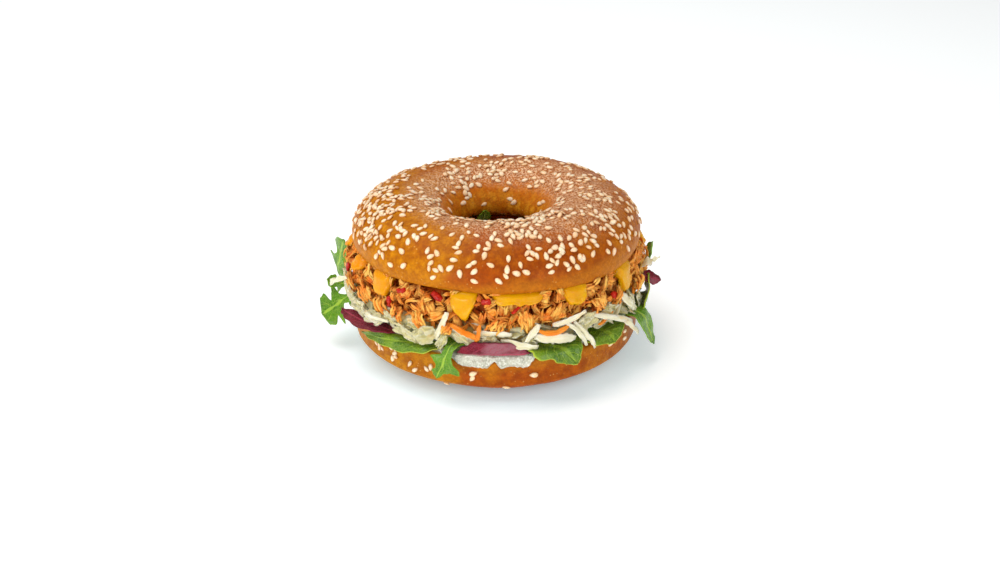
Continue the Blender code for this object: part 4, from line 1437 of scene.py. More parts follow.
CROWN_SEEDING = Seeding(0.42, (
    (-66, 0.28, 9, 1.2), (-78, 0.20, 8, 1.2), (-84, 0.36, 8, 0.7), (-96, 0.30, 9, 0.7),
    (-70, 0.44, 6, 0.7), (-55, 0.14, 7, 0.9), (-24, 0.12, 6, 1.0),
    (-62, 0.07, 6, 0.8), (-44, 0.22, 7, 0.4), (2, 0.13, 6, 0.4), (26, 0.10, 6, 0.6), (64, 0.16, 7, 0.5),
    (180, 0.72, 6, 1.0), (150, 0.76, 5, 0.9), (-150, 0.80, 5, 0.8), (168, 0.84, 4, 0.7),
    (-40, 0.66, 7, 1.0), (-13, 0.63, 7, 1.3), (14, 0.60, 9, 1.6), (36, 0.58, 7, 0.8),
    (13, 0.45, 7, 1.3), (3, 0.30, 8, 0.3), (30, 0.16, 9, 0.4), (52, 0.24, 9, 0.5),
    (74, 0.38, 10, 0.5), (94, 0.62, 9, 0.4), (-80, 0.66, 10, 0.35), (-152, 0.62, 9, 0.6),
    (150, 0.5, 10, 0.3), (-118, 0.5, 9, 0.3), (125, 0.3, 12, 0.3), (-170, 0.25, 12, 0.3),
    (-130, 0.25, 10, 0.3), (160, 0.15, 10, 0.2),
))
HEEL_SEEDING = Seeding(0.012, (
    (-52, 1.6, 2.2, 2.0), (-44, 1.45, 2.2, 2.0), (-35, 1.24, 2.2, 2.0), (-27, 1.25, 2.0, 2.0),
    (-8.5, 1.27, 1.6, 0.9), (-7, 1.0, 1.4, 0.8), (-4.2, 1.31, 1.4, 0.8), (-2.8, 1.75, 1.4, 0.9),
    (5, 0.95, 1.5, 1.2), (11.8, 1.38, 1.6, 1.3), (44.5, 1.15, 2.0, 1.8), (50.5, 1.6, 2.2, 1.8),
    (62, 1.5, 2.0, 1.6), (55.2, 1.28, 1.8, 1.2), (88, 1.2, 4, 0.3), (118, 1.5, 5, 0.25),
    (134, 0.9, 4, 0.25), (172, 1.2, 6, 0.3),
    (-158, 1.5, 5, 0.25), (-132, 1.1, 5, 0.25), (-108, 1.6, 5, 0.2), (-84, 1.2, 4, 0.3),
), clump_size=9 * MM)


# Where the crown's lower edge sags: azimuth, half width in degrees and depth in mm
SAGS = ((52.0, 40.0, 1.7), (2.0, 16.0, 0.7), (-52.0, 34.0, 1.0), (150.0, 40.0, 1.0), (-140.0, 30.0, 0.7))


@dataclass
class BagelHalves:
    """The crown and the heel, each a crust with its seeds."""

    steps: int = 360
    seed_length: float = 3.25 * MM
    seed_width: float = 2.15 * MM
    seed_thickness: float = 1.15 * MM
    even_spacing: float = 1.9 * MM
    pile_spacing: float = 1.5 * MM
    density: float = 170000.0
    swell: float = 0.9 * MM
    wrinkle: float = 0.9 * MM
    relief_tree: CrustRelief = field(default_factory=CrustRelief)
    scatter: Scatter = field(default_factory=Scatter)

    def crown_profile(self) -> list[tuple[float, float]]:
        """Down the outer side, round the lower edge, in along the cut and up through the hole.

        Returns:
            The crown's (radius, height) points.
        """
        low = LAYERS.crown_low
        rows = [BUN.crown_section(0.5 * (1 - i / 34)) for i in range(35)]
        for i in range(1, 7):
            turn = i / 6 * math.pi / 2
            rows.append((
                BUN.radius - 1.5 * MM * (1 - math.cos(turn) ** 0.8),
                low + BUN.widest * (1 - math.sin(turn)),
            ))
        rows += [(BUN.radius - 1.5 * MM - i * 4.6 * MM, low) for i in range(1, 8)]
        rows += [(BUN.hole + 1.2 * MM, low), (BUN.hole + 0.4 * MM, low + 0.8 * MM)]
        rows += [BUN.crown_section(1 - 0.5 * i / 28) for i in range(28)]
        return rows

    def heel_profile(self) -> list[tuple[float, float]]:
        """Down the outer side from the cut, in along the flat base and up through the hole.

        Returns:
            The heel's (radius, height) points.
        """
        top = LAYERS.heel_top
        rows = [(BUN.radius - 1.6 * MM, top), (BUN.radius - 0.7 * MM, top - 0.4 * MM)]
        rows += [(BUN.radius - 0.25 * MM, top - 1.2 * MM), (BUN.radius, top - 3.5 * MM)]
        rows += [(BUN.radius, top - (3.5 + 1.4 * i) * MM) for i in range(1, 5)]
        rows += [BUN.heel_section(1 - i / 26) for i in range(27)]
        rows += [(BUN.flat_outer - 3.7 * MM, 0.0), (BUN.flat_inner, 0.0)]
        rows += [(BUN.hole + 1.8 * MM, 1.0 * MM), (BUN.hole + 0.6 * MM, 3.4 * MM)]
        rows += [(BUN.hole, top - 9.0 * MM), (BUN.hole + 0.5 * MM, top - 4.0 * MM)]
        rows += [(BUN.hole + 1.2 * MM, top)]
        rows += [(BUN.hole + 1.2 * MM + i * 4.7 * MM, top) for i in range(1, 8)]
        return rows

    def seed_mesh(self, index: int) -> Mesh:
        """One teardrop seed, rounded at one end and drawn out at the other.


        Returns:
            Its mesh.
        """
        draw = random.Random(100 + index)
        bm = bmesh.new()
        bmesh.ops.create_uvsphere(bm, u_segments=10, v_segments=6, radius=1.0)
        plump, point = draw.uniform(0.92, 1.08), draw.uniform(0.34, 0.54)
        curl = draw.uniform(-0.10, 0.10)
        for vertex in bm.verts:
            nose = clamp(0.5 + 0.5 * vertex.co.x)
            slim = 1.0 - point * nose**2.2
            vertex.co.y = (vertex.co.y * slim + curl * nose) * self.seed_width / 2 * plump
            vertex.co.z *= self.seed_thickness / 2 * (1.0 - 0.35 * nose)
            vertex.co.x *= self.seed_length / 2
        order_faces(bm)
        mesh = mesh_from(bm, "seed")
        set_attribute(mesh, "rise", np.abs(points_of(mesh)[:, 2]) / (self.seed_thickness / 2))
        return mesh

    def crust(self, name: str, profile: Profile, finish: Material) -> Mesh:
        """A turned crust with its swells, and wrinkles down in the hole.

        Args:
            name: the mesh's name.
            profile: its section.
            finish: its material.

        Returns:
            Its mesh.
        """
        ring = ring_mesh(name, profile, self.steps)
        _, radii, heights = to_polar(points_of(ring))
        cut = np.where(heights > 30 * MM, heights - LAYERS.crown_low, LAYERS.heel_top - heights)
        free = np.clip(cut / (2.5 * MM), 0, 1) * np.clip(heights / (2.5 * MM), 0, 1)
        set_attribute(ring, "free", free)
        set_attribute(ring, "wrinkled", np.clip((32 * MM - radii) / (10 * MM), 0.08, 1))
        self.settle(ring)
        values = {
            "Swell": self.swell, "Swell Size": 16 * MM, "Wrinkle": self.wrinkle,
            "Wrinkle Size": 4.2 * MM, "Finish": finish,
        }
        return self.relief_tree.mesh(ring, values)

    def settle(self, ring: Mesh) -> None:
        """Lowers the lip at the front of the hole a little, and tears the crown's inner edge.

        Args:
            ring: the turned crust, which is changed.
        """
        points = points_of(ring)
        azimuths, radii, heights = to_polar(points)
        front = np.clip(1 - np.abs(azimuths) / 55, 0, 1) ** 0.7
        lip = np.clip(1 - np.abs(radii - 27 * MM) / (9 * MM), 0, 1)
        high = np.clip((heights - LAYERS.crown_low - 6 * MM) / (6 * MM), 0, 1)
        heights = heights - 1.0 * MM * front * lip * high
        edge = np.clip(1 - (heights - LAYERS.crown_low) / (2.5 * MM), 0, 1) * (radii < 20 * MM)
        edge = edge * (heights >= LAYERS.crown_low - 0.01 * MM)
        heights = heights + edge * MM * np.clip(0.5 + 1.4 * relief(points, 1.7 * MM), 0, 1.2)
        sag = np.full(len(points), 0.3)
        for centre, half, depth in SAGS:
            sag += depth * np.clip(1 - turned_by(azimuths, centre) ** 2 / half**2, 0, 1)
        rim = np.clip((radii - 52 * MM) / (3 * MM), 0, 1) * (heights >= LAYERS.crown_low - 0.01 * MM)
        rim = rim * np.clip(1 - (heights - LAYERS.crown_low) / (9 * MM), 0, 1)
        heights = heights - sag * MM * rim
        place_points(ring, from_polar(azimuths, radii, heights))

    def seeds(self, crust: Mesh, cover: np.ndarray, kit: Kit, finish: Material, first: int) -> Mesh:
        """Seeds lying on a crust: single ones, and piles where they are thickest.

        Args:
            crust: what they lie on.
            cover: how thickly, at each of its vertices.
            kit: loose seeds to pick from.
            finish: their material.
            first: the seed of the first draw.

        Returns:
            One mesh of them all.
        """
        ground = crust.copy()
        set_attribute(ground, "cover", np.clip(cover, 0, 1))
        lying = Spread(self.density, self.even_spacing, first, lean=9, lift=(0.12 * MM, 0.35 * MM),
                       size=(0.86, 1.12))
        single = self.scatter.mesh(ground, lying.values(kit.collection, finish))
        ground.attributes.remove(ground.attributes["cover"])
        set_attribute(ground, "cover", np.clip(cover - 0.85, 0, 1))
        piled = Spread(self.density * 1.1, self.pile_spacing, first + 20, lean=26,
                       lift=(0.35 * MM, 0.8 * MM), size=(0.85, 1.05))
        heap = self.scatter.mesh(ground, piled.values(kit.collection, finish))
        return joined((single, heap), "seeds")

    def crown_cover(self, crust: Mesh) -> np.ndarray:
        """How thickly seeds lie on the crown: none low on its side, few down in the hole.

        Args:
            crust: the crown's crust.

        Returns:
            A number for each vertex.
        """
        points = points_of(crust)
        _, radii, heights = to_polar(points)
        cover = CROWN_SEEDING.cover(points, BUN.crown_section)
        rise = (heights - LAYERS.crown_low - BUN.widest) / BUN.dome
        cover *= np.clip(rise * 9, 0, 1) * np.clip(0.85 + 0.3 * rise, 0, 1)
        return cover * np.where(radii < 27 * MM, np.clip((radii - 17.5 * MM) / (9 * MM), 0.45, 1), 1)

    def heel_cover(self, crust: Mesh) -> np.ndarray:
        """How thickly seeds lie on the heel: on its outer side only, clear of its cut and its base.

        Args:
            crust: the heel's crust.

        Returns:
            A number for each vertex.
        """
        points = points_of(crust)
        _, radii, heights = to_polar(points)
        cover = HEEL_SEEDING.cover(points, BUN.heel_section)
        cover *= (radii > 40 * MM) * np.clip((LAYERS.heel_top - heights) / (2.5 * MM) - 0.4, 0, 1)
        return cover * np.clip(heights / (1.5 * MM) - 0.6, 0, 1)

    def build(self) -> list[bpy.types.Object]:
        """Builds the two crusts and their seeds.

        Returns:
            The finished pieces.
        """
        crown_finish = Baked("crown crust", LAYERS.crown_low, False).material
        heel_finish = Baked("heel crust", LAYERS.heel_top, True).material
        seed_finish = SeedCoat().material
        kit = Kit("seed kit", [self.seed_mesh(index) for index in range(5)])
        crown = self.crust("crown_crust", self.crown_profile(), crown_finish)
        heel = self.crust("heel_crust", self.heel_profile(), heel_finish)
        crown_seeds = self.seeds(crown, self.crown_cover(crown), kit, seed_finish, 7)
        heel_seeds = self.seeds(heel, self.heel_cover(heel), kit, seed_finish, 3)
        kit.clear()
        return [
            Piece("crown_crust", "crust", ("bagel_crown",)).finish(crown, crown_finish),
            Piece("crown_seeds", "crust").finish(crown_seeds, seed_finish),
            Piece("heel_crust", "crust", ("bagel_heel",)).finish(heel, heel_finish),
            Piece("heel_seeds", "crust").finish(heel_seeds, seed_finish),
        ]


# Spreads

# Drips: azimuth and half width in degrees, the tip's height in mm, and how pointed it is
DRIPS = (
    (-88.0, 5.0, 41.5, 0.6), (-66.5, 4.4, 40.6, 0.5), (-50.0, 5.8, 35.5, 0.4), (-12.6, 5.9, 34.4, 0.8),
    (8.4, 11.4, 41.3, 0.28), (31.0, 6.0, 37.4, 0.5), (60.0, 6.0, 33.0, 0.7), (97.5, 6.0, 37.0, 0.6),
    (130.0, 8.0, 40.5, 0.5), (157.5, 6.0, 35.5, 0.8), (-167.5, 8.0, 41.0, 0.5), (-140.0, 6.0, 36.0, 0.7),
    (-112.5, 6.5, 39.5, 0.6),
)
# Swells of the filling: azimuth and half width in degrees, and how far outwards in mm
SWELLS = (
    (-80.0, 22.0, 3.2), (86.0, 18.0, 2.8), (-28.0, 14.0, 0.9), (44.0, 12.0, 0.9), (170.0, 20.0, 1.8),
    (-135.0, 16.0, 1.4),
)


def swollen(points: Points) -> Points:
    """Pushes the meat, and the cheese on it, out where the filling swells past the crown.

    Args:
        points: vertices round the axis.

    Returns:
        The vertices, moved.
    """
    azimuths, radii, heights = to_polar(points)
    outer = np.clip((radii - 50 * MM) / (6 * MM), 0, 1)
    outer = outer * np.clip((LAYERS.crown_low - 1 * MM - heights) / (5 * MM), 0.25, 1)
    for centre, half, size in SWELLS:
        away = np.abs(turned_by(azimuths, centre)) / half
        radii = radii + size * MM * np.clip(1 - away**2, 0, 1) * outer
    return from_polar(azimuths, radii, heights)


@dataclass
class MeltedSheet:
    """Melted cheese: a sheet under the crown whose rim runs down over the chicken in thick drips."""

    radius: float = 53.6 * MM
    hole: float = 24.0 * MM
    drip_out: float = 5.0 * MM
    bulge: float = 0.9 * MM
    steps: int = 1400
    drips: Sequence[tuple[float, float, float, float]] = DRIPS

    def fullness(self, azimuth: float) -> tuple[float, float]:
        """How fully a drip stands out here, from 0 to 1, and the height of the rim's lower edge.

        Args:
            azimuth: where, in degrees.

        Returns:
            The fullness and the height.
        """
        edge = LAYERS.cheese_low + 0.4 * MM
        lowest, fullest = edge, 0.0
        for centre, half, tip, point in self.drips:
            away = abs(turned_by(azimuth, centre)) / (0.88 * half)
            waver = noise.noise(Vector((azimuth / 2.4, centre, 0.0)))
            tongue = max(0.0, 1 - max(0.0, away + 0.22 * waver) ** 2) ** point
            share = max(tongue, 0.30 * bump(away, 1.5))
            lowest = min(lowest, edge + share * (tip * MM - edge + 1.1 * MM * waver * tongue))
            fullest = max(fullest, max(0.0, 1 - (away / 1.06) ** 3.5) ** 0.45)
        return fullest, lowest

    def column(self, azimuth: float) -> Profile:
        """The sheet's section: down its rim, back under the drip, in along its base and out over its top.

        Args:
            azimuth: where, in degrees.

        Returns:
            (radius, height) points.
        """
        low, top = LAYERS.cheese_low, LAYERS.cheese_top
        edge = low + 0.4 * MM
        full, lowest = self.fullness(azimuth)
        wobble = 0.25 * MM * noise.noise(polar(azimuth, 9.0, 0.0))
        reach = self.radius + self.drip_out * full + wobble
        places = []
        for step in range(17):
            share = step / 16
            fall = top - 0.4 * MM - (top - 0.4 * MM - lowest) * share**0.9
            belly = 0.55 * math.sin(math.pi * share) + 0.75 * bump(share - 0.8, 0.3)
            tuck = 1.4 * MM * max(0.0, 1 - share * 6)
            tuck += (0.9 * MM + 0.4 * MM * full) * max(0.0, share - 0.86) / 0.14
            places.append((reach + self.bulge * full * belly - tuck, fall))
        back = self.radius - 0.5 * MM + (self.drip_out - 0.1 * MM) * full
        places.append((back, lowest + 0.3 * MM * full))
        places.append((back - 0.1 * MM, lowest + (edge - lowest) * 0.4))
        places.append((self.radius - 0.9 * MM, edge))
        places.append((self.radius - 1.4 * MM, low))
        places += [(self.hole + step * 4.0 * MM, low) for step in range(7, -1, -1)]
        places += [(self.hole + 0.5 * MM + step * 4.0 * MM, top) for step in range(8)]
        return places

    def build(self) -> list[bpy.types.Object]:
        """Builds the sheet and its drips.

        Returns:
            The finished pieces.
        """
        columns = [self.column(azimuth) for azimuth in round_axis(self.steps)]
        mesh = turned_mesh("melted_sheet", list(zip(*columns)))
        place_points(mesh, swollen(points_of(mesh)))
        piece = Piece("melted_sheet", "melted_cheese", ("melted_cheese",))
        return [piece.finish(mesh, MeltedCheese().material)]


# Lobes of soft cheese: azimuth and half width in degrees, and size as a share
CREAM_LOBES = (
    (-8.6, 8.8, 1.0), (6.4, 8.2, 1.05), (-58.0, 8.0, 0.4), (50.0, 6.0, 0.3), (-50.0, 6.0, 0.4),
    (112.0, 11.0, 0.6), (-160.0, 12.0, 0.75), (-104.0, 9.0, 0.5),
)


@dataclass
class CreamSpread:
    """White soft cheese on the heel, broken along its edge and pushed out in lobes."""

    radius: float = 56.2 * MM
    hole: float = 18.8 * MM
    lobe_out: float = 3.5 * MM
    lobe_down: float = 3.6 * MM
    root: float = 6.0
    steps: int = 1100
    face_rows: int = 18

    def lobe(self, azimuth: float, spread: float) -> float:
        """How far a lobe hangs over here, from 0 to 1, with each lobe this much wider.

        Args:
            azimuth: where, in degrees.
            spread: how much wider, in degrees.

        Returns:
            The share.
        """
        found = 0.0
        for centre, half, size in CREAM_LOBES:
            away = abs(turned_by(azimuth, centre))
            found = max(found, size * bump(max(0.0, away - half / 2 - spread / 2), half / 2 + spread / 2))
        return found

    def column(self, azimuth: float) -> Profile:
        """The spread's section: out over its top, down its broken face and in along its base.

        Args:
            azimuth: where, in degrees.

        Returns:
            (radius, height) points.
        """
        low, top = LAYERS.heel_top + 0.3 * MM, LAYERS.cream_top
        around = polar(azimuth, 58.0 * MM, 0.0)
        ragged = noise.noise(around / (2.8 * MM)) * 1.0 + noise.noise(around / (1.2 * MM)) * 0.45
        out = self.lobe_out * min(1.0, 3 * self.lobe(azimuth, self.root))
        down = self.lobe_down * self.lobe(azimuth, 0)
        down = max(0.0, down + 1.5 * MM * ragged * min(1.0, down / (1.2 * MM)))
        foot = low + 0.2 * MM - down
        places = [(self.radius - 8 * MM, top), (self.radius - 2.0 * MM + 0.5 * out, top)]
        for step in range(self.face_rows):
            share = step / (self.face_rows - 1)
            height = top - 0.3 * MM - (top - 0.3 * MM - foot) * share
            place = Vector((around.x, around.y, height))
            belly = 0.6 * MM * math.sin(math.pi * share) - 0.9 * MM * max(0.0, share - 0.75) / 0.25
            crag = 0.8 * MM * noise.noise(place / (3.0 * MM)) + 0.35 * MM * noise.noise(place / (1.0 * MM))
            crack = max(0.0, 1 - abs(noise.noise(place / (2.4 * MM) + UP * 7.0)) / 0.12)
            crag -= 0.5 * MM * crack
            places.append((self.radius - 0.7 * MM + out + belly + crag, height))
        places.append((self.radius + 0.72 * out - 0.4 * MM, max(foot, low - 0.9 * down)))
        places.append((self.radius - 0.6 * MM + 0.6 * out, low))
        return places + [(self.radius - 8 * MM, low), (self.hole, low), (self.hole, top)]

    def build(self) -> list[bpy.types.Object]:
        """Builds the spread, with a ragged edge.

        Returns:
            The finished pieces.
        """
        columns = [self.column(azimuth) for azimuth in round_axis(self.steps)]
        mesh = turned_mesh("cream_spread", list(zip(*columns)))
        return [Piece("cream_spread", "soft_cheese", ("soft_cheese",)).finish(mesh, SoftCheese().material)]


# Heaps

def clear_of_drips(points: Points, limit: float, margin: float) -> Points:
    """Pushes what stands in a cheese drip's way back behind it.

    Args:
        points: the heap's vertices, round the axis.
        limit: the greatest radius behind a drip.
        margin: how far round and below a drip is kept clear, in degrees and millimetres.

    Returns:
        The vertices, moved.
    """
    azimuths, radii, heights = to_polar(points)
    for centre, half, tip, _ in DRIPS:
        away = np.abs(turned_by(azimuths, centre))
        near = np.clip((half + margin - away) / margin, 0, 1)
        high = np.clip((heights - (tip - margin) * MM) / (margin * MM), 0, 1)
        push = near * high
        radii = np.where(radii > limit, radii - (radii - limit) * push, radii)
    return from_polar(azimuths, radii, heights)


def held(points: Points, low: float, top: float, most: float) -> Points:
    """Holds vertices between two heights, and eases them in under a greatest radius.

    Args:
        points: the vertices, round the axis.
        low, top: the least and the greatest height.
        most: the radius that none goes past.

    Returns:
        The vertices, moved.
    """
    azimuths, radii, heights = to_polar(points)
    knee, room = most - 1.6 * MM, 1.6 * MM
    eased = knee + room * (1 - np.exp(-np.maximum(0, radii - knee) / room))
    return from_polar(azimuths, np.where(radii > knee, eased, radii), np.clip(heights, low, top))


def heap_core(name: str, profile: Profile, steps: int, lump: float, lump_size: float, grit: float,
              grit_size: float, hole: float) -> Mesh:
    """A packed heap: a turned ring whose face is lumpy.

    Args:
        name: the mesh's name.
        profile: its section.
        steps: points in each turn.
        lump, lump_size: how far its lumps stand out, and how wide they are.
        grit, grit_size: the same for its finer grain.
        hole: the radius of the hole through it.

    Returns:
        The heap.
    """
    mesh = ring_mesh(name, spaced(profile, 1.1 * MM), steps)
    points = points_of(mesh)
    azimuths, radii, heights = to_polar(points)
    low, top = heights.min(), heights.max()
    edge = np.clip(np.minimum(heights - low, top - heights) / (1.5 * MM), 0, 1)
    rough = lump * relief(points, lump_size) + grit * relief(points, grit_size, 5.0)
    facing = np.where(radii > 0.5 * (radii.max() + hole), 1.0, -0.5)
    radii = np.maximum(hole - 0.4 * MM, radii + edge * facing * rough)
    place_points(mesh, from_polar(azimuths, radii, heights))
    return mesh


def face_of(radius: float, low: float, top: float, lump: float, lump_size: float) -> Mesh:
    """An open lumpy band that faces outwards, for pieces to be laid on.

    Args:
        radius: its middle radius.
        low, top: its lower and upper edge.
        lump, lump_size: how far its lumps stand out, and how wide they are.

    Returns:
        The band, covered all over.
    """
    steps, rows = 360, 14
    heights = [low + (top - low) * row / (rows - 1) for row in range(rows)]
    mesh = turned_mesh("band", [[(radius, height)] * steps for height in heights], False)
    points = points_of(mesh)
    place_points(mesh, points + outward(points) * (lump * relief(points, lump_size, 8.0))[:, None])
    if float(np.sum(outward(points) * normals_of(mesh))) < 0:
        mesh.flip_normals()
    set_attribute(mesh, "cover", 1.0)
    return mesh


@dataclass
class PulledChicken:
    """Torn chicken: a packed core, chunks and loose fibres over its face, and bits of red pepper."""

    radius: float = 53.4 * MM
    hole: float = 18.8 * MM
    most: float = 62.9 * MM
    chunk_spread: Spread = Spread(
        160000.0, 3.0 * MM, 11, flow=420, flow_size=15 * MM, spin=60, lean=26,
        lift=(0.5 * MM, 2.4 * MM), size=(0.7, 1.2),
    )
    strand_spread: Spread = Spread(
        160000.0, 2.3 * MM, 23, flow=520, flow_size=11 * MM, spin=60, lean=26,
        lift=(2.2 * MM, 4.4 * MM), size=(0.6, 1.05),
    )
    fibre_spread: Spread = Spread(
        1400000.0, 1.15 * MM, 37, flow=900, flow_size=13 * MM, spin=32, lean=32,
        lift=(0.0, 0.5 * MM), size=(0.65, 1.15),
    )
    lumps: Sequence[tuple[float, float, float, float]] = (
        (9.5, 40.0, 11.5, 30.6), (-30.0, 36.0, -27.0, 29.0), (39.0, 39.0, 43.0, 33.0),
        (25.0, 40.0, 22.0, 34.5), (-50.0, 36.0, -47.0, 28.8), (-39.0, 35.0, -41.0, 28.6),
        (-60.0, 36.0, -56.0, 30.0), (-17.0, 33.0, -21.0, 29.4), (1.5, 36.0, -1.5, 30.6),
        (-72.0, 37.0, -68.0, 31.0), (55.0, 38.0, 52.0, 32.0), (70.0, 36.0, 72.0, 30.0),
    )
    lump_strips: int = 17
    peppers: Sequence[tuple[float, float, float]] = (
        (-44.9, 35.2, 84.0), (-37.8, 42.2, 20.0), (-22.2, 43.6, -30.0), (-3.8, 43.0, 12.0),
        (7.2, 39.9, 40.0), (50.6, 35.6, -50.0), (118.0, 38.0, 20.0), (-128.0, 36.0, -40.0),
        (165.0, 40.0, 30.0), (-74.0, 38.5, 60.0),
    )
    scatter: Scatter = field(default_factory=Scatter)

    def chunk(self, index: int) -> Mesh:
        """A torn chunk, grooved along its grain and ragged at both ends, along X.


        Returns:
            Its mesh.
        """
        draw = random.Random(800 + index)
        length, width = draw.uniform(4.5, 8.5) * MM, draw.uniform(2.0, 3.6) * MM
        bends = [draw.uniform(-35, 35) for _ in range(3)]
        depth = draw.uniform(1.7, 2.6) * MM
        return strip_mesh("chunk", bent_path(length, bends, 7), [UP] * 7, width, depth, 9, 0.35, 0.3, index)

    def strand(self, index: int) -> Mesh:
        """A few thin strips side by side that part at their torn ends, along X.


        Returns:
            Its mesh.
        """
        draw = random.Random(500 + index)
        length = draw.uniform(5.0, 10.0) * MM
        bends = [draw.uniform(-32, 32) for _ in range(3)]
        strands = []
        for number in range(draw.randint(2, 4)):
            fan, drop = draw.uniform(-9, 9), draw.uniform(-0.35, 0.35) * MM
            side, slid = number * 0.72 * MM, draw.uniform(-0.12, 0.12) * length
            path = []
            for place in bent_path(length * draw.uniform(0.65, 1.0), bends, 7):
                wave = 0.8 * MM * math.cos(3 * place.x / length)
                path.append(place + Vector((slid, side + math.radians(fan) * place.x, drop + wave)))
            width, depth = draw.uniform(0.75, 1.35) * MM, draw.uniform(0.5, 0.9) * MM
            number_seed = index * 9 + number
            strands.append(strip_mesh("strand", path, [UP] * 7, width, depth, 5, 0.25, 0.3, number_seed))
        return joined(strands, "strand")

    def fibre(self, index: int) -> Mesh:
        """A short fine fibre, along X.


        Returns:
            Its mesh.
        """
        draw = random.Random(560 + index)
        path = bent_path(draw.uniform(2.2, 4.6) * MM, [draw.uniform(-40, 40) for _ in range(3)], 5)
        lifted = [place + UP * draw.uniform(-0.15, 0.3) * MM for place in path]
        width, depth = draw.uniform(0.45, 1.0) * MM, draw.uniform(0.35, 0.55) * MM
        return strip_mesh("fibre", lifted, [UP] * 5, width, depth, 4, 0.3, 0.25, index)

    def lump(self, index: int, ends: Sequence[float]) -> Mesh:
        """A torn bundle of fibres that hangs over the slaw.

        Args:
            index: which lump.
            ends: the azimuth and height in mm of its upper end, then of its lower end.

        Returns:
            Its mesh, in place.
        """
        draw = random.Random(220 + index)
        upper, lower = (polar(azimuth, 58.0 * MM, height * MM) for azimuth, height in (ends[:2], ends[2:]))
        out = Vector((upper.x, upper.y, 0)).normalized()
        side = (lower - upper).cross(out).normalized()
        strips = []
        for number in range(self.lump_strips):
            start, stop = draw.uniform(-0.1, 0.3), draw.uniform(0.65, 1.1)
            shift, fan = draw.uniform(-2.4, 2.4) * MM, draw.uniform(-1.8, 1.8) * MM
            level, bow = draw.uniform(-0.2, 1.6) * MM, draw.uniform(0.6, 1.6) * MM
            path = []
            for i in range(7):
                t = start + (stop - start) * i / 6
                bulge = level + bow * math.sin(math.pi * clamp(0.2 + 0.8 * t))
                wave = 1.2 * MM * noise.noise(Vector((t * 4, number, index)))
                path.append(upper.lerp(lower, t) + side * (shift + fan * t + wave) + out * bulge)
            width, depth = draw.uniform(0.6, 1.3) * MM, draw.uniform(0.5, 0.9) * MM
            mesh = strip_mesh("lump", path, [out] * 7, width, depth, 6, 0.5, 0.3, index * 20 + number)
            set_attribute(mesh, "tone", draw.uniform(0.1, 0.9))
            strips.append(mesh)
        return joined(strips, "lump")

    def build(self) -> list[bpy.types.Object]:
        """Builds the core, the chunks, the strands, the fibres and the pepper.

        Returns:
            The finished pieces.
        """
        low, top = LAYERS.chicken_lip, LAYERS.chicken_top
        profile = [
            (self.radius - 3.0 * MM, top), (self.radius - 0.8 * MM, top - 1.0 * MM),
            (self.radius + 0.4 * MM, 0.5 * (low + top)), (self.radius, low + 1.0 * MM),
            (self.radius - 1.5 * MM, low + 0.2 * MM), (self.radius - 3.0 * MM, low + 1.9 * MM),
            (self.hole + 1.0 * MM, low + 1.9 * MM), (self.hole, 0.5 * (low + top)),
            (self.hole + 1.0 * MM, top),
        ]
        core = heap_core("chicken_core", profile, 480, 1.6 * MM, 5 * MM, 0.7 * MM, 1.3 * MM, self.hole)
        place_points(core, swollen(clear_of_drips(points_of(core), 57.0 * MM, 2.0)))
        piece = Piece("chicken_core", "chicken", ("pulled_chicken",))
        pieces = [piece.finish(core, Meat("packed chicken", True).material)]

        finish = Meat("pulled chicken", False).material
        band = face_of(self.radius + 0.4 * MM, low - 1.0 * MM, top + 1.2 * MM, 2.6 * MM, 8 * MM)
        chunks = self.laid(band, "chunk kit", [self.chunk(i) for i in range(12)], self.chunk_spread, finish)
        place_points(chunks, held(points_of(chunks), low, LAYERS.crown_low, 60.8 * MM))
        kit = [self.strand(i) for i in range(14)]
        strands = self.laid(band, "strand kit", kit, self.strand_spread, finish)
        lumps = [self.lump(i, ends) for i, ends in enumerate(self.lumps)]
        strands = joined([strands, *lumps], "chicken_strands")
        ground = chunks.copy()
        _, radii, _ = to_polar(points_of(ground))
        facing = np.sum(outward(points_of(ground)) * normals_of(ground), axis=1)
        set_attribute(ground, "cover", np.clip((radii - 55.0 * MM) / (1.5 * MM), 0, 1) * (facing > -0.2))
        kit = [self.fibre(i) for i in range(12)]
        fibres = self.laid(ground, "fibre kit", kit, self.fibre_spread, finish)
        loose = {"chicken_chunks": chunks, "chicken_strands": strands, "chicken_fibres": fibres}
        for name, mesh in loose.items():
            points = swollen(clear_of_drips(points_of(mesh), 57.8 * MM, 1.2))
            place_points(mesh, held(points, low - 2.6 * MM, LAYERS.crown_low - 0.3 * MM, self.most))
            pieces.append(Piece(name, "chicken").finish(mesh, finish))
        return [*pieces, self.build_pepper()]

    def laid(self, ground: Mesh, name: str, kinds: Sequence[Mesh], spread: Spread,
             finish: Material) -> Mesh:
        """Loose pieces laid over a surface.

        Args:
            ground: the surface, marked with cover.
            kinds: the loose pieces.
            spread: how they are laid.
            finish: their material.

        Returns:
            One mesh of them all.
        """
        kit = Kit(name, kinds)
        made = self.scatter.mesh(ground, spread.values(kit.collection, finish))
        kit.clear()
        return made

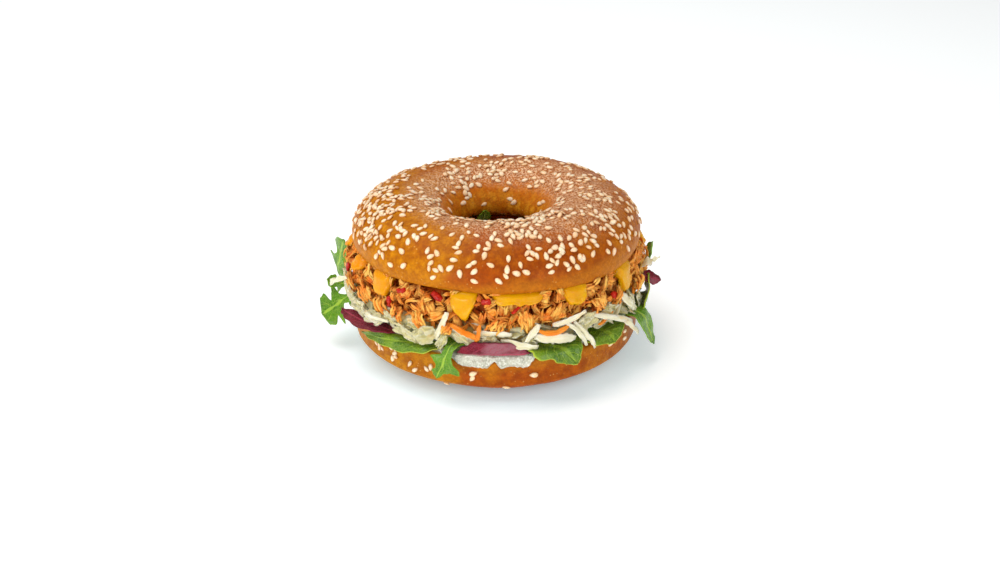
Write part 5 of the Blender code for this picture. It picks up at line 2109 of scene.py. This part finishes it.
    def build_pepper(self) -> bpy.types.Object:
        """Builds the bits of red pepper among the strands.

        Returns:
            The finished piece.
        """
        bits = []
        for index, (azimuth, height, lean) in enumerate(self.peppers):
            draw = random.Random(40 + index)
            tangent = polar(azimuth + 90, 1.0, 0.0)
            out = polar(azimuth, 1.0, 0.0)
            centre = polar(azimuth, self.radius + 4.9 * MM, height * MM)
            along = tangent * math.cos(math.radians(lean)) + UP * math.sin(math.radians(lean))
            length = draw.uniform(3.6, 5.0) * MM
            path = [
                centre + along * length * (i / 5 - 0.5) + out * draw.uniform(-0.3, 0.3) * MM
                for i in range(6)
            ]
            width = draw.uniform(1.9, 2.8) * MM
            bits.append(strip_mesh("pepper", path, [out] * 6, width, 1.6 * MM, 6, 0.8, 0.5, index))
        mesh = joined(bits, "pepper_bits")
        place_points(mesh, swollen(points_of(mesh)))
        return Piece("pepper_bits", "chicken").finish(mesh, Pepper().material)


class Kind(Enum):
    """What a shred in the slaw is cut from."""

    CABBAGE = "cabbage"
    CARROT = "carrot"


@dataclass(frozen=True)
class Shred:
    """A listed shred: points of (azimuth, height in mm, radius in mm), and its size in mm."""

    kind: Kind
    route: Sequence[tuple[float, float, float]]
    width: float = 2.2
    depth: float = 0.6


SHREDS = (
    Shred(Kind.CABBAGE, ((-17.7, 38.2, 60.2), (-19.8, 32.5, 60.6), (-22.3, 26.3, 60.2)), 2.6),
    Shred(Kind.CABBAGE, ((-8.5, 30.4, 58.5), (-1.0, 30.9, 60.0), (5.6, 29.9, 59.0)), 3.0),
    Shred(Kind.CABBAGE, ((1.4, 27.2, 58.6), (8.0, 26.2, 60.6), (14.6, 24.6, 60.4)), 3.4),
    Shred(Kind.CABBAGE, ((10.4, 27.2, 60.4), (12.4, 30.6, 61.0), (15.0, 34.2, 60.4)), 3.4),
    Shred(Kind.CARROT, ((13.8, 32.4, 60.6), (19.9, 30.2, 61.8), (27.0, 31.9, 60.6)), 2.2, 1.8),
    Shred(Kind.CABBAGE, ((13.6, 28.6, 59.6), (21.0, 27.4, 61.0), (29.6, 25.6, 60.2)), 4.2),
    Shred(Kind.CABBAGE, ((20.6, 32.4, 59.4), (26.6, 34.2, 61.4), (33.0, 36.2, 61.2)), 2.6),
    Shred(Kind.CABBAGE, ((25.0, 33.0, 60.6), (30.0, 28.0, 62.0), (34.0, 21.0, 61.0)), 2.4),
    Shred(Kind.CABBAGE, ((28.6, 32.4, 60.2), (33.6, 26.0, 61.8), (38.2, 18.8, 61.2)), 2.4),
    Shred(Kind.CABBAGE, ((37.0, 32.6, 59.4), (49.0, 27.4, 61.4), (61.0, 20.8, 61.6)), 2.8),
    Shred(Kind.CABBAGE, ((52.4, 25.6, 61.0), (58.6, 20.0, 62.6), (63.6, 14.4, 63.2)), 2.4),
    Shred(Kind.CABBAGE, ((54.0, 35.0, 59.0), (60.0, 29.0, 61.0), (67.0, 23.0, 60.0)), 4.0),
    Shred(Kind.CABBAGE, ((80.0, 35.0, 58.0), (81.6, 37.5, 63.0), (82.6, 39.0, 66.6)), 5.0),
    Shred(Kind.CABBAGE, ((-66.0, 38.0, 64.0), (-73.0, 34.0, 66.0), (-80.5, 28.4, 68.0)), 3.2),
    Shred(Kind.CABBAGE, ((-79.0, 33.6, 61.2), (-75.0, 30.5, 62.0), (-71.0, 26.8, 61.4)), 3.4),
    Shred(Kind.CABBAGE, ((-60.0, 27.2, 61.0), (-52.0, 27.2, 61.9), (-43.0, 28.4, 61.0)), 2.6),
    Shred(Kind.CABBAGE, ((-66.0, 24.4, 60.6), (-56.0, 25.0, 61.4), (-47.0, 25.8, 60.6)), 2.8),
    Shred(Kind.CARROT, ((-16.4, 33.4, 60.0), (-11.0, 31.4, 61.2), (-6.2, 28.4, 60.2)), 2.4, 1.8),
    Shred(Kind.CARROT, ((-5.9, 34.8, 60.4), (-6.4, 31.0, 61.2), (-7.6, 27.4, 60.2)), 1.9, 1.5),
    Shred(Kind.CABBAGE, ((150.0, 24.8, 54.0), (150.0, 26.6, 61.0), (150.0, 27.2, 66.0)), 2.8),
)


@dataclass
class Slaw:
    """Slaw: a packed core, crumpled cabbage, and cabbage and carrot shreds over its face."""

    radius: float = 55.2 * MM
    hole: float = 18.8 * MM
    most: float = 61.2 * MM
    crumple_spread: Spread = Spread(
        60000.0, 3.6 * MM, 41, flow=60, spin=50, lean=40, lift=(0.4 * MM, 2.8 * MM), size=(0.7, 1.25),
    )
    cabbage_spread: Spread = Spread(
        60000.0, 2.6 * MM, 51, flow=110, flow_size=12 * MM, spin=50, lean=26,
        lift=(0.6 * MM, 3.2 * MM), size=(0.7, 1.15),
    )
    carrot_spread: Spread = Spread(
        14000.0, 8.0 * MM, 67, flow=60, spin=50, lean=20, lift=(2.0 * MM, 3.4 * MM), size=(0.7, 1.1),
    )
    placed_width: float = 0.84
    placed_flakes: Sequence[tuple[float, ...]] = (
        (-26.5, 27.6, 61.0, 24.0, 1.35, 0.7), (-34.5, 26.2, 61.0, -18.0, 1.15, 0.5),
        (-44.0, 29.5, 59.8, -16.0, 0.9, 0.6), (-75.5, 31.0, 61.6, 125.0, 1.2, 0.1),
        (-68.0, 28.6, 61.8, 150.0, 1.25, 0.0), (-60.0, 27.6, 61.6, 168.0, 1.2, 0.1),
        (-51.0, 27.0, 61.2, 8.0, 1.1, 0.2), (34.0, 30.0, 59.8, 20.0, 1.0, 0.4),
        (-12.0, 28.6, 59.6, -30.0, 0.9, 0.5), (-20.0, 26.0, 60.4, 60.0, 0.8, 0.8),
        (-31.0, 30.6, 59.8, 4.0, 0.9, 0.6), (-4.0, 29.0, 58.8, 8.0, 1.0, 0.3),
        (47.0, 30.5, 59.2, -24.0, 1.1, 0.8), (63.0, 27.0, 60.4, -50.0, 1.2, 0.3),
        (72.0, 24.0, 60.4, -70.0, 1.1, 0.1), (128.0, 27.0, 60.0, 20.0, 1.2, 0.4),
        (-112.0, 27.0, 60.0, -20.0, 1.2, 0.4), (-150.0, 27.0, 59.8, 30.0, 1.1, 0.5),
    )

    def crumple(self, index: int, fine: bool = False) -> Mesh:
        """A folded flake of cabbage with a torn edge.

        Args:
            fine: True for a flake with close pleats.

        Returns:
            Its mesh, with a thin wall.
        """
        draw = random.Random(640 + index)
        rows, columns, pleats = (24, 21, 19) if fine else (9, 7, 9)
        length, width = draw.uniform(7, 11) * MM, draw.uniform(4, 7) * MM
        fold, phase = draw.uniform(0.7, 1.3) * MM * (0.28 if fine else 1), draw.uniform(0, math.tau)
        grid = []
        for row in range(rows):
            ring = []
            for column in range(columns):
                along, aside = row / (rows - 1) - 0.5, column / (columns - 1) - 0.5
                spot = Vector((along * 4, aside * 4, index * 5.0))
                edge = 1 + 0.35 * noise.noise(spot + Vector((0, 0, 2.2))) + 0.12 * noise.noise(spot * 5)
                narrow = 1 - 1.6 * along * along
                height = fold * math.sin(aside * pleats + phase + along * 3) + 1.5 * MM * noise.noise(spot)
                ring.append((along * length * edge, aside * width * edge * narrow, height))
            grid.append(ring)
        bm = sheet_of(grid, (rows, columns))
        bmesh.ops.solidify(bm, geom=bm.faces[:], thickness=0.5 * MM)
        bmesh.ops.recalc_face_normals(bm, faces=bm.faces[:])
        order_faces(bm)
        return mesh_from(bm, "crumple")

    def flakes(self) -> list[Mesh]:
        """The flakes of cabbage that are placed one by one.

        Returns:
            Their meshes.
        """
        made = []
        for index, (azimuth, height, radius, heading, size, tone) in enumerate(self.placed_flakes):
            mesh = self.crumple(index, True)
            out = polar(azimuth, 1.0, 0.0)
            tangent = polar(azimuth + 90, 1.0, 0.0)
            along = tangent * math.cos(math.radians(heading)) + UP * math.sin(math.radians(heading))
            turn = Matrix((along, out.cross(along), out)).transposed()
            centre = polar(azimuth, radius * MM, height * MM)
            places = [centre + turn @ (Vector(place) * size) for place in points_of(mesh)]
            place_points(mesh, np.array(places))
            set_attribute(mesh, "tone", tone)
            made.append(mesh)
        return made

    def shred_kit(self, kind: Kind, count: int) -> Kit:
        """Loose shreds of a kind, each bent its own way.

        Args:
            kind: what they are cut from.
            count: how many.
        """
        meshes = []
        for index in range(count):
            draw = random.Random(900 + index + (0 if kind is Kind.CABBAGE else 50))
            carrot = kind is Kind.CARROT
            length = draw.uniform(7, 11) * MM if carrot else draw.uniform(7, 15) * MM
            bends = [draw.uniform(-40, 40) for _ in range(4)]
            path = bent_path(length, bends, 11)
            arch = draw.uniform(-0.9, 0.5) * MM
            moved = [place + UP * arch * (1 - (2 * place.x / length) ** 2) for place in path]
            tip = math.radians(draw.uniform(-50, 50))
            faces = [
                Vector((0, math.sin(tip * place.x / length), math.cos(tip * place.x / length)))
                for place in path
            ]
            width = 1.5 * MM if carrot else draw.uniform(0.9, 2.3) * MM
            depth = 1.2 * MM if carrot else draw.uniform(0.5, 0.8) * MM
            meshes.append(strip_mesh("shred", moved, faces, width, depth, 6, 0.5, 0.18, 700 + index))
        return Kit(f"{kind.value} kit", meshes)

    def placed(self, kind: Kind) -> list[Mesh]:
        """The shreds of a kind that are placed one by one.

        Args:
            kind: what they are cut from.

        Returns:
            Their meshes.
        """
        made = []
        for index, shred in enumerate(SHREDS):
            if shred.kind is not kind:
                continue
            draw = random.Random(300 + index)
            path, faces = self._curve(shred)
            width = self.placed_width * shred.width * MM
            mesh = strip_mesh("shred", path, faces, width, shred.depth * MM, 10, 0.6, 0.22, index)
            set_attribute(mesh, "tone", draw.uniform(0.0, 0.5))
            made.append(mesh)
        return made

    def _curve(self, shred: Shred) -> tuple[list[Vector], list[Vector]]:
        """A smooth path through a shred's three points, and the way its face looks.

        Args:
            shred: the shred.

        Returns:
            The path's points and a direction at each.
        """
        first, middle, last = (
            polar(azimuth, radius * MM, height * MM) for azimuth, height, radius in shred.route
        )
        path, faces = [], []
        for i in range(17):
            t = i / 16
            place = (first * (2 * t - 1) * (t - 1) + middle * 4 * t * (1 - t) + last * t * (2 * t - 1))
            out = Vector((place.x, place.y, 0.0)).normalized()
            path.append(place + 0.35 * MM * noise.noise_vector(place / (2.4 * MM)))
            faces.append((out + 0.9 * noise.noise_vector(place / (5 * MM))).normalized())
        return path, faces

    def build(self) -> list[bpy.types.Object]:
        """Builds the core and the shreds.

        Returns:
            The finished pieces.
        """
        low, top = LAYERS.slaw_low, LAYERS.chicken_lip
        profile = [
            (self.radius - 3.0 * MM, top + 1.4 * MM), (self.radius - 1.2 * MM, top - 0.3 * MM),
            (self.radius + 0.6 * MM, 0.5 * (low + top)), (self.radius - 0.8 * MM, low + 0.8 * MM),
            (self.radius - 3.0 * MM, low), (self.hole + 1.0 * MM, low),
            (self.hole, 0.5 * (low + top)), (self.hole + 1.0 * MM, top + 1.4 * MM),
        ]
        core = heap_core("slaw_core", profile, 480, 0.9 * MM, 4 * MM, 0.5 * MM, 1.2 * MM, self.hole)
        pieces = [Piece("slaw_core", "slaw", ("slaw",)).finish(core, Shredded(ShredTone.DRESSED).material)]

        band = face_of(self.radius + 0.3 * MM, low + 0.8 * MM, top + 0.6 * MM, 1.0 * MM, 7 * MM)
        scatter = Scatter()
        crumples = Kit("crumple kit", [self.crumple(20 + index) for index in range(9)])
        cabbage, carrot = self.shred_kit(Kind.CABBAGE, 12), self.shred_kit(Kind.CARROT, 8)
        for name, kit, spread, tone, by_hand in (
            ("cabbage_crumples", crumples, self.crumple_spread, ShredTone.FLAKE, self.flakes()),
            ("cabbage_shreds", cabbage, self.cabbage_spread, ShredTone.CABBAGE, self.placed(Kind.CABBAGE)),
            ("carrot_shreds", carrot, self.carrot_spread, ShredTone.CARROT, self.placed(Kind.CARROT)),
        ):
            finish = Shredded(tone).material
            loose = scatter.mesh(band, spread.values(kit.collection, finish))
            kit.clear()
            points = held(points_of(loose), low - 0.4 * MM, top + 2.0 * MM, self.most)
            place_points(loose, clear_of_drips(points, 57.6 * MM, 2.0))
            pieces.append(Piece(name, "slaw").finish(joined([loose, *by_hand], name), finish))
        return pieces


# Leaves

class Outline(Enum):
    """A leaf's outline: shares of its length, and of its greatest half width to its left and right."""

    ROCKET = ((0.0, 0.08, 0.08), (0.2, 0.12, 0.1), (0.3, 0.22, 0.14), (0.38, 0.72, 0.2), (0.43, 0.3, 0.66),
              (0.5, 0.18, 0.3), (0.58, 0.3, 0.2), (0.64, 0.98, 0.55), (0.69, 0.5, 1.0), (0.76, 0.3, 0.4),
              (0.85, 0.85, 0.7), (0.93, 0.6, 0.62), (1.0, 0.03, 0.03))
    HANGING = ((0.0, 0.16, 0.14), (0.1, 0.34, 0.34), (0.2, 0.8, 0.5), (0.27, 1.05, 0.5), (0.33, 0.62, 0.4),
               (0.4, 0.3, 0.36), (0.5, 0.2, 0.26), (0.6, 0.26, 0.3), (0.68, 0.74, 0.46), (0.73, 0.5, 0.95),
               (0.79, 0.3, 1.1), (0.84, 0.26, 0.5), (0.9, 0.4, 0.22), (0.96, 0.26, 0.14), (1.0, 0.02, 0.02))
    OVAL = ((0.0, 0.08, 0.08), (0.12, 0.46, 0.52), (0.32, 0.92, 0.9), (0.55, 1.0, 0.96), (0.78, 0.72, 0.8),
            (0.92, 0.34, 0.42), (1.0, 0.03, 0.03))
    FAN = ((0.0, 0.08, 0.08), (0.12, 0.5, 0.6), (0.3, 0.86, 1.0), (0.5, 0.76, 1.1), (0.7, 0.46, 0.92),
           (0.85, 0.26, 0.56), (0.95, 0.14, 0.22), (1.0, 0.03, 0.03))
    BLADE = ((0.0, 0.12, 0.12), (0.1, 0.55, 0.6), (0.3, 0.95, 0.86), (0.52, 0.92, 1.0), (0.74, 0.85, 0.78),
             (0.9, 0.42, 0.5), (1.0, 0.04, 0.04))
    TAPER = ((0.0, 0.15, 0.15), (0.08, 0.7, 0.6), (0.22, 1.0, 0.95), (0.4, 0.88, 0.95), (0.62, 0.6, 0.68),
             (0.84, 0.34, 0.3), (1.0, 0.03, 0.03))


@dataclass(frozen=True)
class Leaf:
    """One salad leaf: a flat outline laid on a sheet that lies level, then bends at the rim.

    azimuth, reach: where its stalk end lies: degrees, and millimetres from the axis
    heading: which way it grows: 0 straight out, 90 along the rim to the right, in degrees
    length, width: millimetres
    droop: the angle of the part past the rim: positive hangs, negative rises, in degrees
    rim, bend: where it bends, in millimetres from the axis, and the bend's radius
    low: the height that it lies at, in millimetres
    twist: how far the part past the rim turns about its midrib, in degrees
    ruffle: how far its edges ripple, in millimetres
    """

    name: str
    outline: Outline
    tone: LeafTone
    azimuth: float
    reach: float
    heading: float
    length: float
    width: float
    droop: float
    rim: float
    bend: float
    low: float
    twist: float = 0.0
    ruffle: float = 0.5


ROCKET, SPINACH, DEEP, RED = LeafTone.ROCKET, LeafTone.SPINACH, LeafTone.DEEP, LeafTone.RED
LEAVES = (
    Leaf("rocket_front", Outline.HANGING, ROCKET, -13.0, 50, -18, 25.5, 14.0, 80, 60.2, 2.0, 24.8),
    Leaf("spinach_front_left", Outline.TAPER, SPINACH, -20.0, 56.2, -78, 41, 9.0, 76, 58.8, 2.0, 21.5),
    Leaf("red_leaf_front", Outline.BLADE, RED, -14.4, 59.4, 88, 26.5, 12.6, -78, 58.6, 1.5, 21.5),
    Leaf("spinach_front_right", Outline.FAN, SPINACH, 15.0, 49.5, 35, 23.5, 23.0, 74, 60.8, 2.0, 23.2),
    Leaf("spinach_under", Outline.OVAL, DEEP, 28.5, 50, 0, 15.0, 11.0, 84, 58.2, 1.0, 21.5, ruffle=0.2),
    Leaf("spinach_right", Outline.OVAL, SPINACH, 45.5, 50, 6, 14.5, 24.0, 58, 59.2, 2.5, 21.5),
    Leaf("rocket_right", Outline.OVAL, ROCKET, 65.5, 50, 6, 28, 10.6, 72, 60.0, 5.0, 22.35, ruffle=0.25),
    Leaf("red_leaf_left", Outline.BLADE, RED, -42.0, 57.0, -76, 32, 8.5, 10, 59.0, 2.0, 22.35),
    Leaf("rocket_left_low", Outline.ROCKET, ROCKET, -82.0, 48, -4, 27, 20.0, 38, 58.8, 5.0, 21.5, -38.0),
    Leaf("rocket_left_small", Outline.ROCKET, ROCKET, -88.0, 50, 0, 20, 8.0, -16, 59.4, 5.0, 23.2, -40.0),
    Leaf("rocket_left_tall", Outline.ROCKET, ROCKET, -94.0, 49, 0, 33, 19.0, -104, 59.6, 6.0, 22.35, 40.0),
    Leaf("spinach_right_tall", Outline.BLADE, SPINACH, 78.0, 52, 0, 22, 17.0, -88, 61.0, 1.5, 21.5, 12.0),
    Leaf("red_leaf_right", Outline.BLADE, RED, 78.0, 55.8, 4, 12.0, 8.0, 12, 60.0, 4.0, 32.2, 24.0),
    Leaf("rocket_right_back", Outline.ROCKET, ROCKET, 100.0, 49, -2, 27, 9.0, -78, 59.6, 3.5, 23.2),
    Leaf("spinach_right_back", Outline.OVAL, SPINACH, 118.0, 48, 8, 19, 15.0, 52, 59.0, 2.5, 21.5),
    Leaf("rocket_back", Outline.ROCKET, ROCKET, 142.0, 49, 10, 26, 13.0, 70, 59.2, 2.5, 23.2),
    Leaf("red_leaf_back", Outline.BLADE, RED, 150.0, 59.4, 84, 22, 9.0, -72, 58.6, 1.5, 22.35),
    Leaf("spinach_back", Outline.OVAL, SPINACH, -166.0, 49, -10, 23, 20.0, 66, 59.8, 2.5, 23.2),
    Leaf("rocket_back_left", Outline.ROCKET, ROCKET, -130.0, 49, -6, 26, 13.0, 52, 59.0, 3.0, 23.2),
    Leaf("rocket_in_hole", Outline.OVAL, ROCKET, -163.0, 22.8, 176, 11.5, 7.5, -60, 19.8, 3.0, 44.0,
         ruffle=0.4),
)


@dataclass
class Salad:
    """The salad leaves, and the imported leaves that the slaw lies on."""

    thickness: float = 0.4 * MM
    wrap: float = 58.0 * MM
    sweep: float = 0.12
    rows: int = 72
    columns: int = 19

    def half_widths(self, outline: Outline, share: float) -> tuple[float, float]:
        """The outline's half widths, left and right, smooth between its points.

        Args:
            outline: which outline.
            share: how far along the leaf, from 0 to 1.

        Returns:
            Shares of the leaf's greatest half width.
        """
        for before, after in zip(outline.value, outline.value[1:]):
            if share <= after[0]:
                t = (share - before[0]) / (after[0] - before[0])
                ease = t * t * (3 - 2 * t)
                return tuple(low + (high - low) * ease for low, high in zip(before[1:], after[1:]))
        return outline.value[-1][1:]

    def drape(self, leaf: Leaf, reach: float, side: float, lift: float) -> Vector:
        """A point of the leaf's flat outline, laid on the sheet that bends at the rim.

        Args:
            leaf: the leaf.
            reach: the point's distance from the axis, if it lay level.
            side: its distance round the rim.
            lift: its height off the sheet.

        Returns:
            The point.
        """
        rim, bend = leaf.rim * MM, leaf.bend * MM
        way = 1 if rim > BUN.crest else -1
        past = way * (reach - rim)
        down = 1 if leaf.droop >= 0 else -1
        most = math.radians(abs(leaf.droop))
        if past <= 0:
            radius, height, slope = reach, leaf.low * MM, 0.0
        else:
            slope = min(most, past / bend)
            straight = max(0.0, past - most * bend)
            radius = rim + way * (bend * math.sin(slope) + straight * math.cos(most))
            height = leaf.low * MM - down * (bend * (1 - math.cos(slope)) + straight * math.sin(most))
        radius += way * lift * math.sin(slope) * down
        height += lift * math.cos(slope)
        wrap = self.wrap if way > 0 else rim
        return polar(leaf.azimuth + math.degrees(side / wrap), radius, height)

    def surface(self, leaf: Leaf, seed: int) -> Mesh:
        """The leaf's thin sheet, rippled at its edges and creased along its midrib, with a UV map.

        Args:
            leaf: the leaf.
            seed: sets its ripples.

        Returns:
            Its mesh.
        """
        draw = random.Random(seed)
        phase, wavelength = draw.uniform(0, math.tau), draw.uniform(3.2, 4.6) * MM
        turn, twist = math.radians(leaf.heading), math.radians(leaf.twist)
        grid = []
        for row in range(self.rows):
            along = row / (self.rows - 1)
            left, right = self.half_widths(leaf.outline, along)
            ring = []
            for column in range(self.columns):
                aside = 2 * column / (self.columns - 1) - 1
                half = left if aside < 0 else right
                uneven = 1 + 0.16 * noise.noise(Vector((along * 9, math.copysign(1.0, aside) + seed, 0.5)))
                lobed = leaf.outline in (Outline.ROCKET, Outline.HANGING)
                swept = self.sweep * abs(aside) * half * (1 - along) if lobed else 0.0
                forward = (along + swept) * leaf.length * MM
                sideways = 0.5 * aside * half * uneven * leaf.width * MM
                middle = leaf.reach * MM + forward * math.cos(turn)
                free = clamp((middle - leaf.rim * MM) / (6 * MM)) if leaf.rim > 30 else 0.3
                ripple = math.sin(forward / wavelength * math.tau * 0.5 + phase + (0.9 if aside > 0 else 0))
                lift = leaf.ruffle * MM * free * aside**2 * ripple
                lift += 0.3 * MM * (abs(aside) ** 1.5 - 0.4) * min(1.0, half * 2)
                lift += 0.35 * MM * noise.noise(Vector((along * 8, aside * 3, seed))) * min(1.0, half * 2)
                lift += sideways * math.sin(twist * free)
                sideways *= math.cos(twist * free)
                reach = middle - sideways * math.sin(turn)
                side = forward * math.sin(turn) + sideways * math.cos(turn)
                ring.append(self.drape(leaf, reach, side, lift))
            grid.append(ring)
        return mesh_from(sheet_of(grid, (self.rows - 1, self.columns - 1)), leaf.name)

    def solid(self, sheet: Mesh) -> Mesh:
        """The sheet given its thickness.

        Args:
            sheet: the leaf's thin sheet.

        Returns:
            Its closed mesh.
        """
        carrier = linked("sheet", sheet)
        wall = carrier.modifiers.new("thickness", "SOLIDIFY")
        wall.thickness = self.thickness
        wall.offset = 0.0
        return applied(carrier)

    def build(self) -> list[bpy.types.Object]:
        """Builds every leaf and the bed.

        Returns:
            The finished pieces.
        """
        pieces = []
        for index, leaf in enumerate(LEAVES):
            mesh = self.solid(self.surface(leaf, index))
            slot = "red_leaf" if leaf.tone is LeafTone.RED else "green_leaf"
            piece = Piece(f"leaf_{leaf.name}", slot, (leaf.name,))
            pieces.append(piece.finish(mesh, LeafFinish.of(leaf.tone)))
        return [*pieces, self.build_bed()]

    def build_bed(self) -> bpy.types.Object:
        """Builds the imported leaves, whose crinkled edges show in the gap under the slaw.

        Returns:
            The finished piece.
        """
        low, top = LAYERS.cream_top + 0.3 * MM, LAYERS.slaw_low - 0.3 * MM
        outer, hole = 50.0 * MM, 18.8 * MM
        profile = [
            (outer - 1.0 * MM, top), (outer, 0.5 * (low + top)), (outer - 1.0 * MM, low),
            (hole + 0.5 * MM, low), (hole, 0.5 * (low + top)), (hole + 0.5 * MM, top),
        ]
        mesh = heap_core("bed_of_leaves", profile, 360, 1.2 * MM, 4 * MM, 0.5 * MM, 1.6 * MM, hole)
        piece = Piece("bed_of_leaves", "green_leaf", ("leaf_bed",))
        return piece.finish(mesh, LeafFinish.of(LeafTone.DEEP))


# The stage

@dataclass
class Studio:
    """Pale floor, soft light, and the camera at the photograph's angle."""

    distance: float = 520.0 * MM
    elevation: float = 24.41
    pivot: Vector = field(default_factory=lambda: AXIS + Vector((0.0, 0.0, 34.0 * MM)))
    aim: Vector = field(default_factory=lambda: AXIS + Vector((1.44 * MM, 0.0, 24.1 * MM)))
    lens: float = 45.55
    world_strength: float = 0.42

    def build(self) -> None:
        """Makes the floor, the lights and the camera."""
        self.floor()
        self.world()
        self.softbox("overhead", (-0.34, 0.04, 1.02), 0.80, 7.0)
        self.softbox("front left", (-0.60, -0.85, 0.24), 0.45, 4.2)
        self.softbox("front right", (0.62, -0.80, 0.22), 0.45, 2.6)
        self.camera()

    def floor(self) -> None:
        """A wide pale floor, at the height that the bagel stands on."""
        bm = bmesh.new()
        bmesh.ops.create_grid(bm, x_segments=2, y_segments=2, size=6.0)
        mesh = mesh_from(bm, "floor")
        mesh.materials.append(TableTop().material)
        object_from(mesh, "floor")

    def world(self) -> None:
        """Even white light from all round."""
        world = bpy.data.worlds.new("studio")
        world.use_nodes = True
        background = world.node_tree.nodes["Background"]
        background.inputs["Color"].default_value = (1.0, 1.0, 1.0, 1.0)
        background.inputs["Strength"].default_value = self.world_strength
        bpy.context.scene.world = world
        bpy.context.scene.view_settings.view_transform = "Standard"

    def softbox(self, name: str, place: tuple[float, float, float], size: float, power: float) -> None:
        """A large square light that looks at the sandwich.

        Args:
            name: the light's name.
            place: where it stands.
            size: the length of its side.
            power: watts.
        """
        light = bpy.data.lights.new(name, "AREA")
        light.size, light.energy = size, power
        made = linked(name, light)
        made.location = place
        made.rotation_euler = (Vector(place) - self.pivot).to_track_quat("Z", "Y").to_euler()

    def camera(self) -> None:
        """The camera, as fitted to the photograph's outlines."""
        rise = math.radians(self.elevation)
        camera = bpy.data.cameras.new("camera")
        camera.lens, camera.sensor_width = self.lens, 36.0
        made = linked("camera", camera)
        made.location = self.pivot + Vector((0.0, -math.cos(rise), math.sin(rise))) * self.distance
        made.rotation_euler = (self.aim - made.location).to_track_quat("-Z", "Y").to_euler()
        bpy.context.scene.camera = made


def main() -> None:
    """Builds the stage, then each sub-assembly in turn, and reports every piece."""
    logging.basicConfig(level=logging.INFO, format="%(message)s")
    noise.seed_set(NOISE_SEED)
    Studio().build()
    for assembly in (BagelHalves, CreamSpread, Salad, Slaw, PulledChicken, MeltedSheet):
        for piece in assembly().build():
            triangles = sum(len(face.vertices) - 2 for face in piece.data.polygons)
            LOG.info("%s: %d triangles", piece.name, triangles)


if __name__ == "__main__":
    main()
